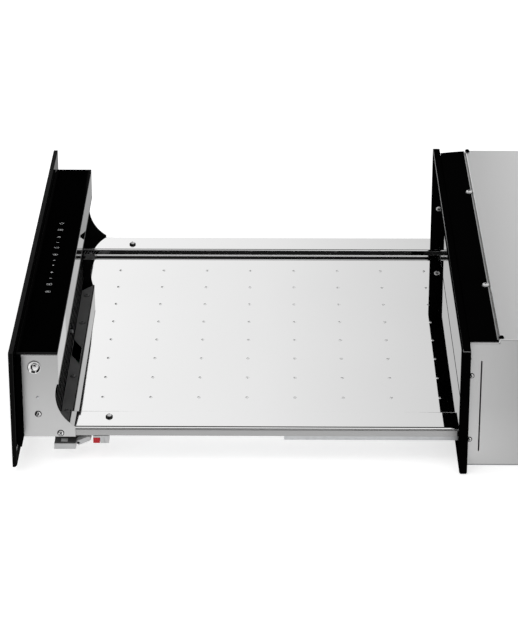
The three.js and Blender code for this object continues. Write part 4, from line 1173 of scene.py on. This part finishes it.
for side, sign in SIDES:
    place = (sign * mid(cap_x), mid(cap_y), cap_z[0])
    cap = screws(f"{side}_cover_screw_head", COVER_HEAD, "+z", [place], DULL_STEEL)
    fitted("cabinet", cap, f"{side}_cover_screw")
    centre = (sign * mid(bolt_x), mid(bolt_y))
    bolt = turned(f"{side}_corner_bolt_head", "z", centre, bolt_z[0], BOLT_HEAD, 24)
    fitted("cabinet", dress(bolt, "black_paint"), f"{side}_corner_bolt")
    places = [(sign * panel_x[1], *place) for place in TAB_SCREWS]
    fitted("cabinet", screws(f"{side}_tab_screws", TAB_HEAD, OUTWARDS[sign], places))
    places = [(sign * OPENING_X, -267.6, 72)]
    fitted("cabinet", screws(f"{side}_bezel_screws", SMALL_HEAD, OUTWARDS[-sign], places, DULL_STEEL))
back_places = [(x, back_y[1], z) for x in (-268, -90, 90, 268) for z in (12, 134)]
fitted("cabinet", screws("back_screws", SMALL_HEAD, "+y", back_places))

# ---- Inside the cabinet ----

latch_x, latch_y, latch_z = span("latch_body")
_, plunger_y, plunger_z = span("latch_plunger")
EAR = 2


def latch():
    """The push latch: a round barrel on a plate with two ears."""
    length = latch_y[1] - latch_y[0] - EAR
    barrel = [(5.4, 0), (9.6, 0), (10.4, 0.8), (10.4, 8), (11.6, 9), (11.6, length), (5.4, length), (5.4, 0)]
    tube = turned("latch_barrel", "y", (0, mid(latch_z)), latch_y[0], barrel, 32)
    ears = block("ears", latch_x, (latch_y[1] - EAR, latch_y[1]), latch_z, 0.6)
    return dress(merged("latch_barrel", tube, ears), "black_plastic")


def latch_pin():
    """The plunger, with a rounded tip."""
    length = plunger_y[1] - plunger_y[0]
    profile = [(0, 0), (2.6, 0), (4.1, 0.5), (4.9, 1.7), (5, 2.6), (5, length), (0, length)]
    return dress(turned("latch_pin", "y", (0, mid(plunger_z)), plunger_y[0], profile, 28), "pale_plastic")


fitted("cabinet", latch(), "latch_body")
fitted("push_latch_plunger", latch_pin(), "latch_plunger")
ear_places = [(x, latch_y[1] - EAR, mid(plunger_z)) for x in (-17, 17)]
fitted("cabinet", screws("latch_ear_screws", SMALL_HEAD, "-y", ear_places))
for head in (SMALL_HEAD, COVER_HEAD, TAB_HEAD):
    bpy.data.objects.remove(head)

NODE_FINISH = {part["node"]: FINISHES[part["material_slot"]] for part in frame["record"]["subparts"]}
# The ceiling panel takes the lighter coat, painted light.
NODE_FINISH |= {"deflector_panel": LIT_CEILING_COAT, "air_grille": GRILLE_COAT}
for name, node in frame["nodes"].items():
    if not node.hide_render:
        node.data.materials.clear()
        node.data.materials.append(NODE_FINISH[name].material)

# ---- Studio ----

CAMERA_PLACE = (2.7384, -0.4646, 1.2701)
CAMERA_LOOK = (-0.91387, -0.00731, -0.40593)
CAMERA_LENS, SENSOR_WIDTH = 152.0, 36.0
TRAY_DROP = 1.24  # from the camera to the tray
TRAY_FLOOR = 0.029
BOX_EDGE = -0.6765
WHITE = (1, 1, 1, 1)


def studio_floor():
    """A pale floor that shows white and keeps the object's shadow, shaded in reflections near the object."""
    take_up()
    bpy.ops.mesh.primitive_plane_add(size=30, location=(0, 0, -0.0004))
    made = Finish("studio_floor", grey(0.82), 0.9, Specular_IOR_Level=0.0, Emission_Color=WHITE)
    across = made.part(made.place, "x")
    near = made.slide(across, 0.3, 0.6, 0.55, 0.05) * (across > -0.3)
    glow = made.ray("Camera") * 0.6 + made.ray("Glossy") * near + made.ray("Transmission") * 0.3
    made.put("Emission Strength", glow)
    finished(started("studio_floor"), made)


def box_edge(tree, up):
    """Where a band starts that follows the front box's edge in the tray, which bends with the card's height."""
    start = tree.slide(up, 0.7, 0.77, -0.689, -0.6788) + tree.slide(up, 0.77, 0.83, 0, 0.0023)
    return start + tree.slide(up, 0.83, 0.95, 0.0004, 0.0014) - (up > 0.975) * 0.0015


def card(name, x, y, z, *bands):
    """A dark card that only reflections see, upright or, when z is a single height, lying overhead.

    A band is a range along the tray, as the camera sees the card there, with its brightness at both ends.
    """
    flat = not isinstance(z, tuple)
    wide = x if flat else z
    centre = (mid(x), mid(y), z) if flat else (x, mid(y), mid(z))
    take_up()
    turn = 0 if flat else math.radians(90)
    bpy.ops.mesh.primitive_plane_add(size=1, location=centre, rotation=(0, turn, 0))
    board = bpy.context.object
    board.scale = (wide[1] - wide[0], y[1] - y[0], 1)
    started(name)
    material = bpy.data.materials.new(name)
    tree = Tree(material)
    tree.nodes.remove(tree.nodes["Principled BSDF"])
    place = tree.node("TexCoord", output="Object")
    up = tree.part(place, "z")
    seen = CAMERA_PLACE[1] + (tree.part(place, "y") - CAMERA_PLACE[1]) * TRAY_DROP / (up + TRAY_DROP - TRAY_FLOOR)
    shade = seen * 0 + 0.01
    for start, end, first, last in bands:
        if start == BOX_EDGE:
            start = box_edge(tree, up)
        shade = shade + (seen > start) * (seen < end) * tree.slide(seen, start, end, first, last)
    light = tree.node("Emission", None, {"Color": WHITE, "Strength": shade})
    tree.feed(tree.nodes["Material Output"], "Surface", light)
    board.data.materials.append(material)
    for kind in ("camera", "diffuse", "shadow", "transmission"):
        setattr(board, f"visible_{kind}", False)


def world():
    """Plain light all round, and white for the camera and in reflections."""
    sky = bpy.data.worlds.new("studio_light")
    bpy.context.scene.world = sky
    tree = Tree(sky)
    share = tree.ray("Camera") + tree.ray("Glossy") + tree.ray("Transmission")
    background = tree.nodes["Background"]
    tree.feed(background, "Color", WHITE)
    tree.feed(background, "Strength", 0.55 + share * 0.45)


def placed(name, data, place, look):
    """A lamp or camera at a place, looking in a direction."""
    holder = bpy.data.objects.new(name, data)
    bpy.context.scene.collection.objects.link(holder)
    holder.location = place
    holder.rotation_mode = "QUATERNION"
    holder.rotation_quaternion = Vector(look).to_track_quat("-Z", "Y")
    return holder


def lamp(name, place, aim, size, power):
    light = bpy.data.lights.new(name, "AREA")
    light.shape = "RECTANGLE"
    light.size, light.size_y = size
    light.energy = power
    placed(name, light, place, Vector(aim) - Vector(place)).visible_glossy = False


studio_floor()
world()
lamp("overhead_lamp", (0.2, -0.9, 2.4), (0, -0.25, 0), (2.2, 2.2), 12)
lamp("side_lamp", (1.9, -1.6, 1.3), (0, -0.3, 0.05), (1.4, 1.2), 5)
CARD_Y = (-1.9, 1.2)
FAR_BANDS = (BOX_EDGE, -0.48, 1.0, 0.9), (-0.48, -0.26, 0.9, 0.7), (-0.228, 2, 0.95, 0.95)
card("far_card", -1.7, CARD_Y, (0.15, 1.08), *FAR_BANDS)
card("upper_card", -1.7, CARD_Y, (1.08, 3.2), (-0.22, 2, 0.9, 0.9))
card("overhead_card", (-1.7, 0.2), (-1.3, -0.03), 3.2)
card("dark_card", 3.1, CARD_Y, (0.1, 3.3))

camera_data = bpy.data.cameras.new("camera")
camera_data.lens = CAMERA_LENS
camera_data.sensor_width = SENSOR_WIDTH
bpy.context.scene.camera = placed("camera", camera_data, CAMERA_PLACE, CAMERA_LOOK)
bpy.context.scene.view_settings.view_transform = "Standard"
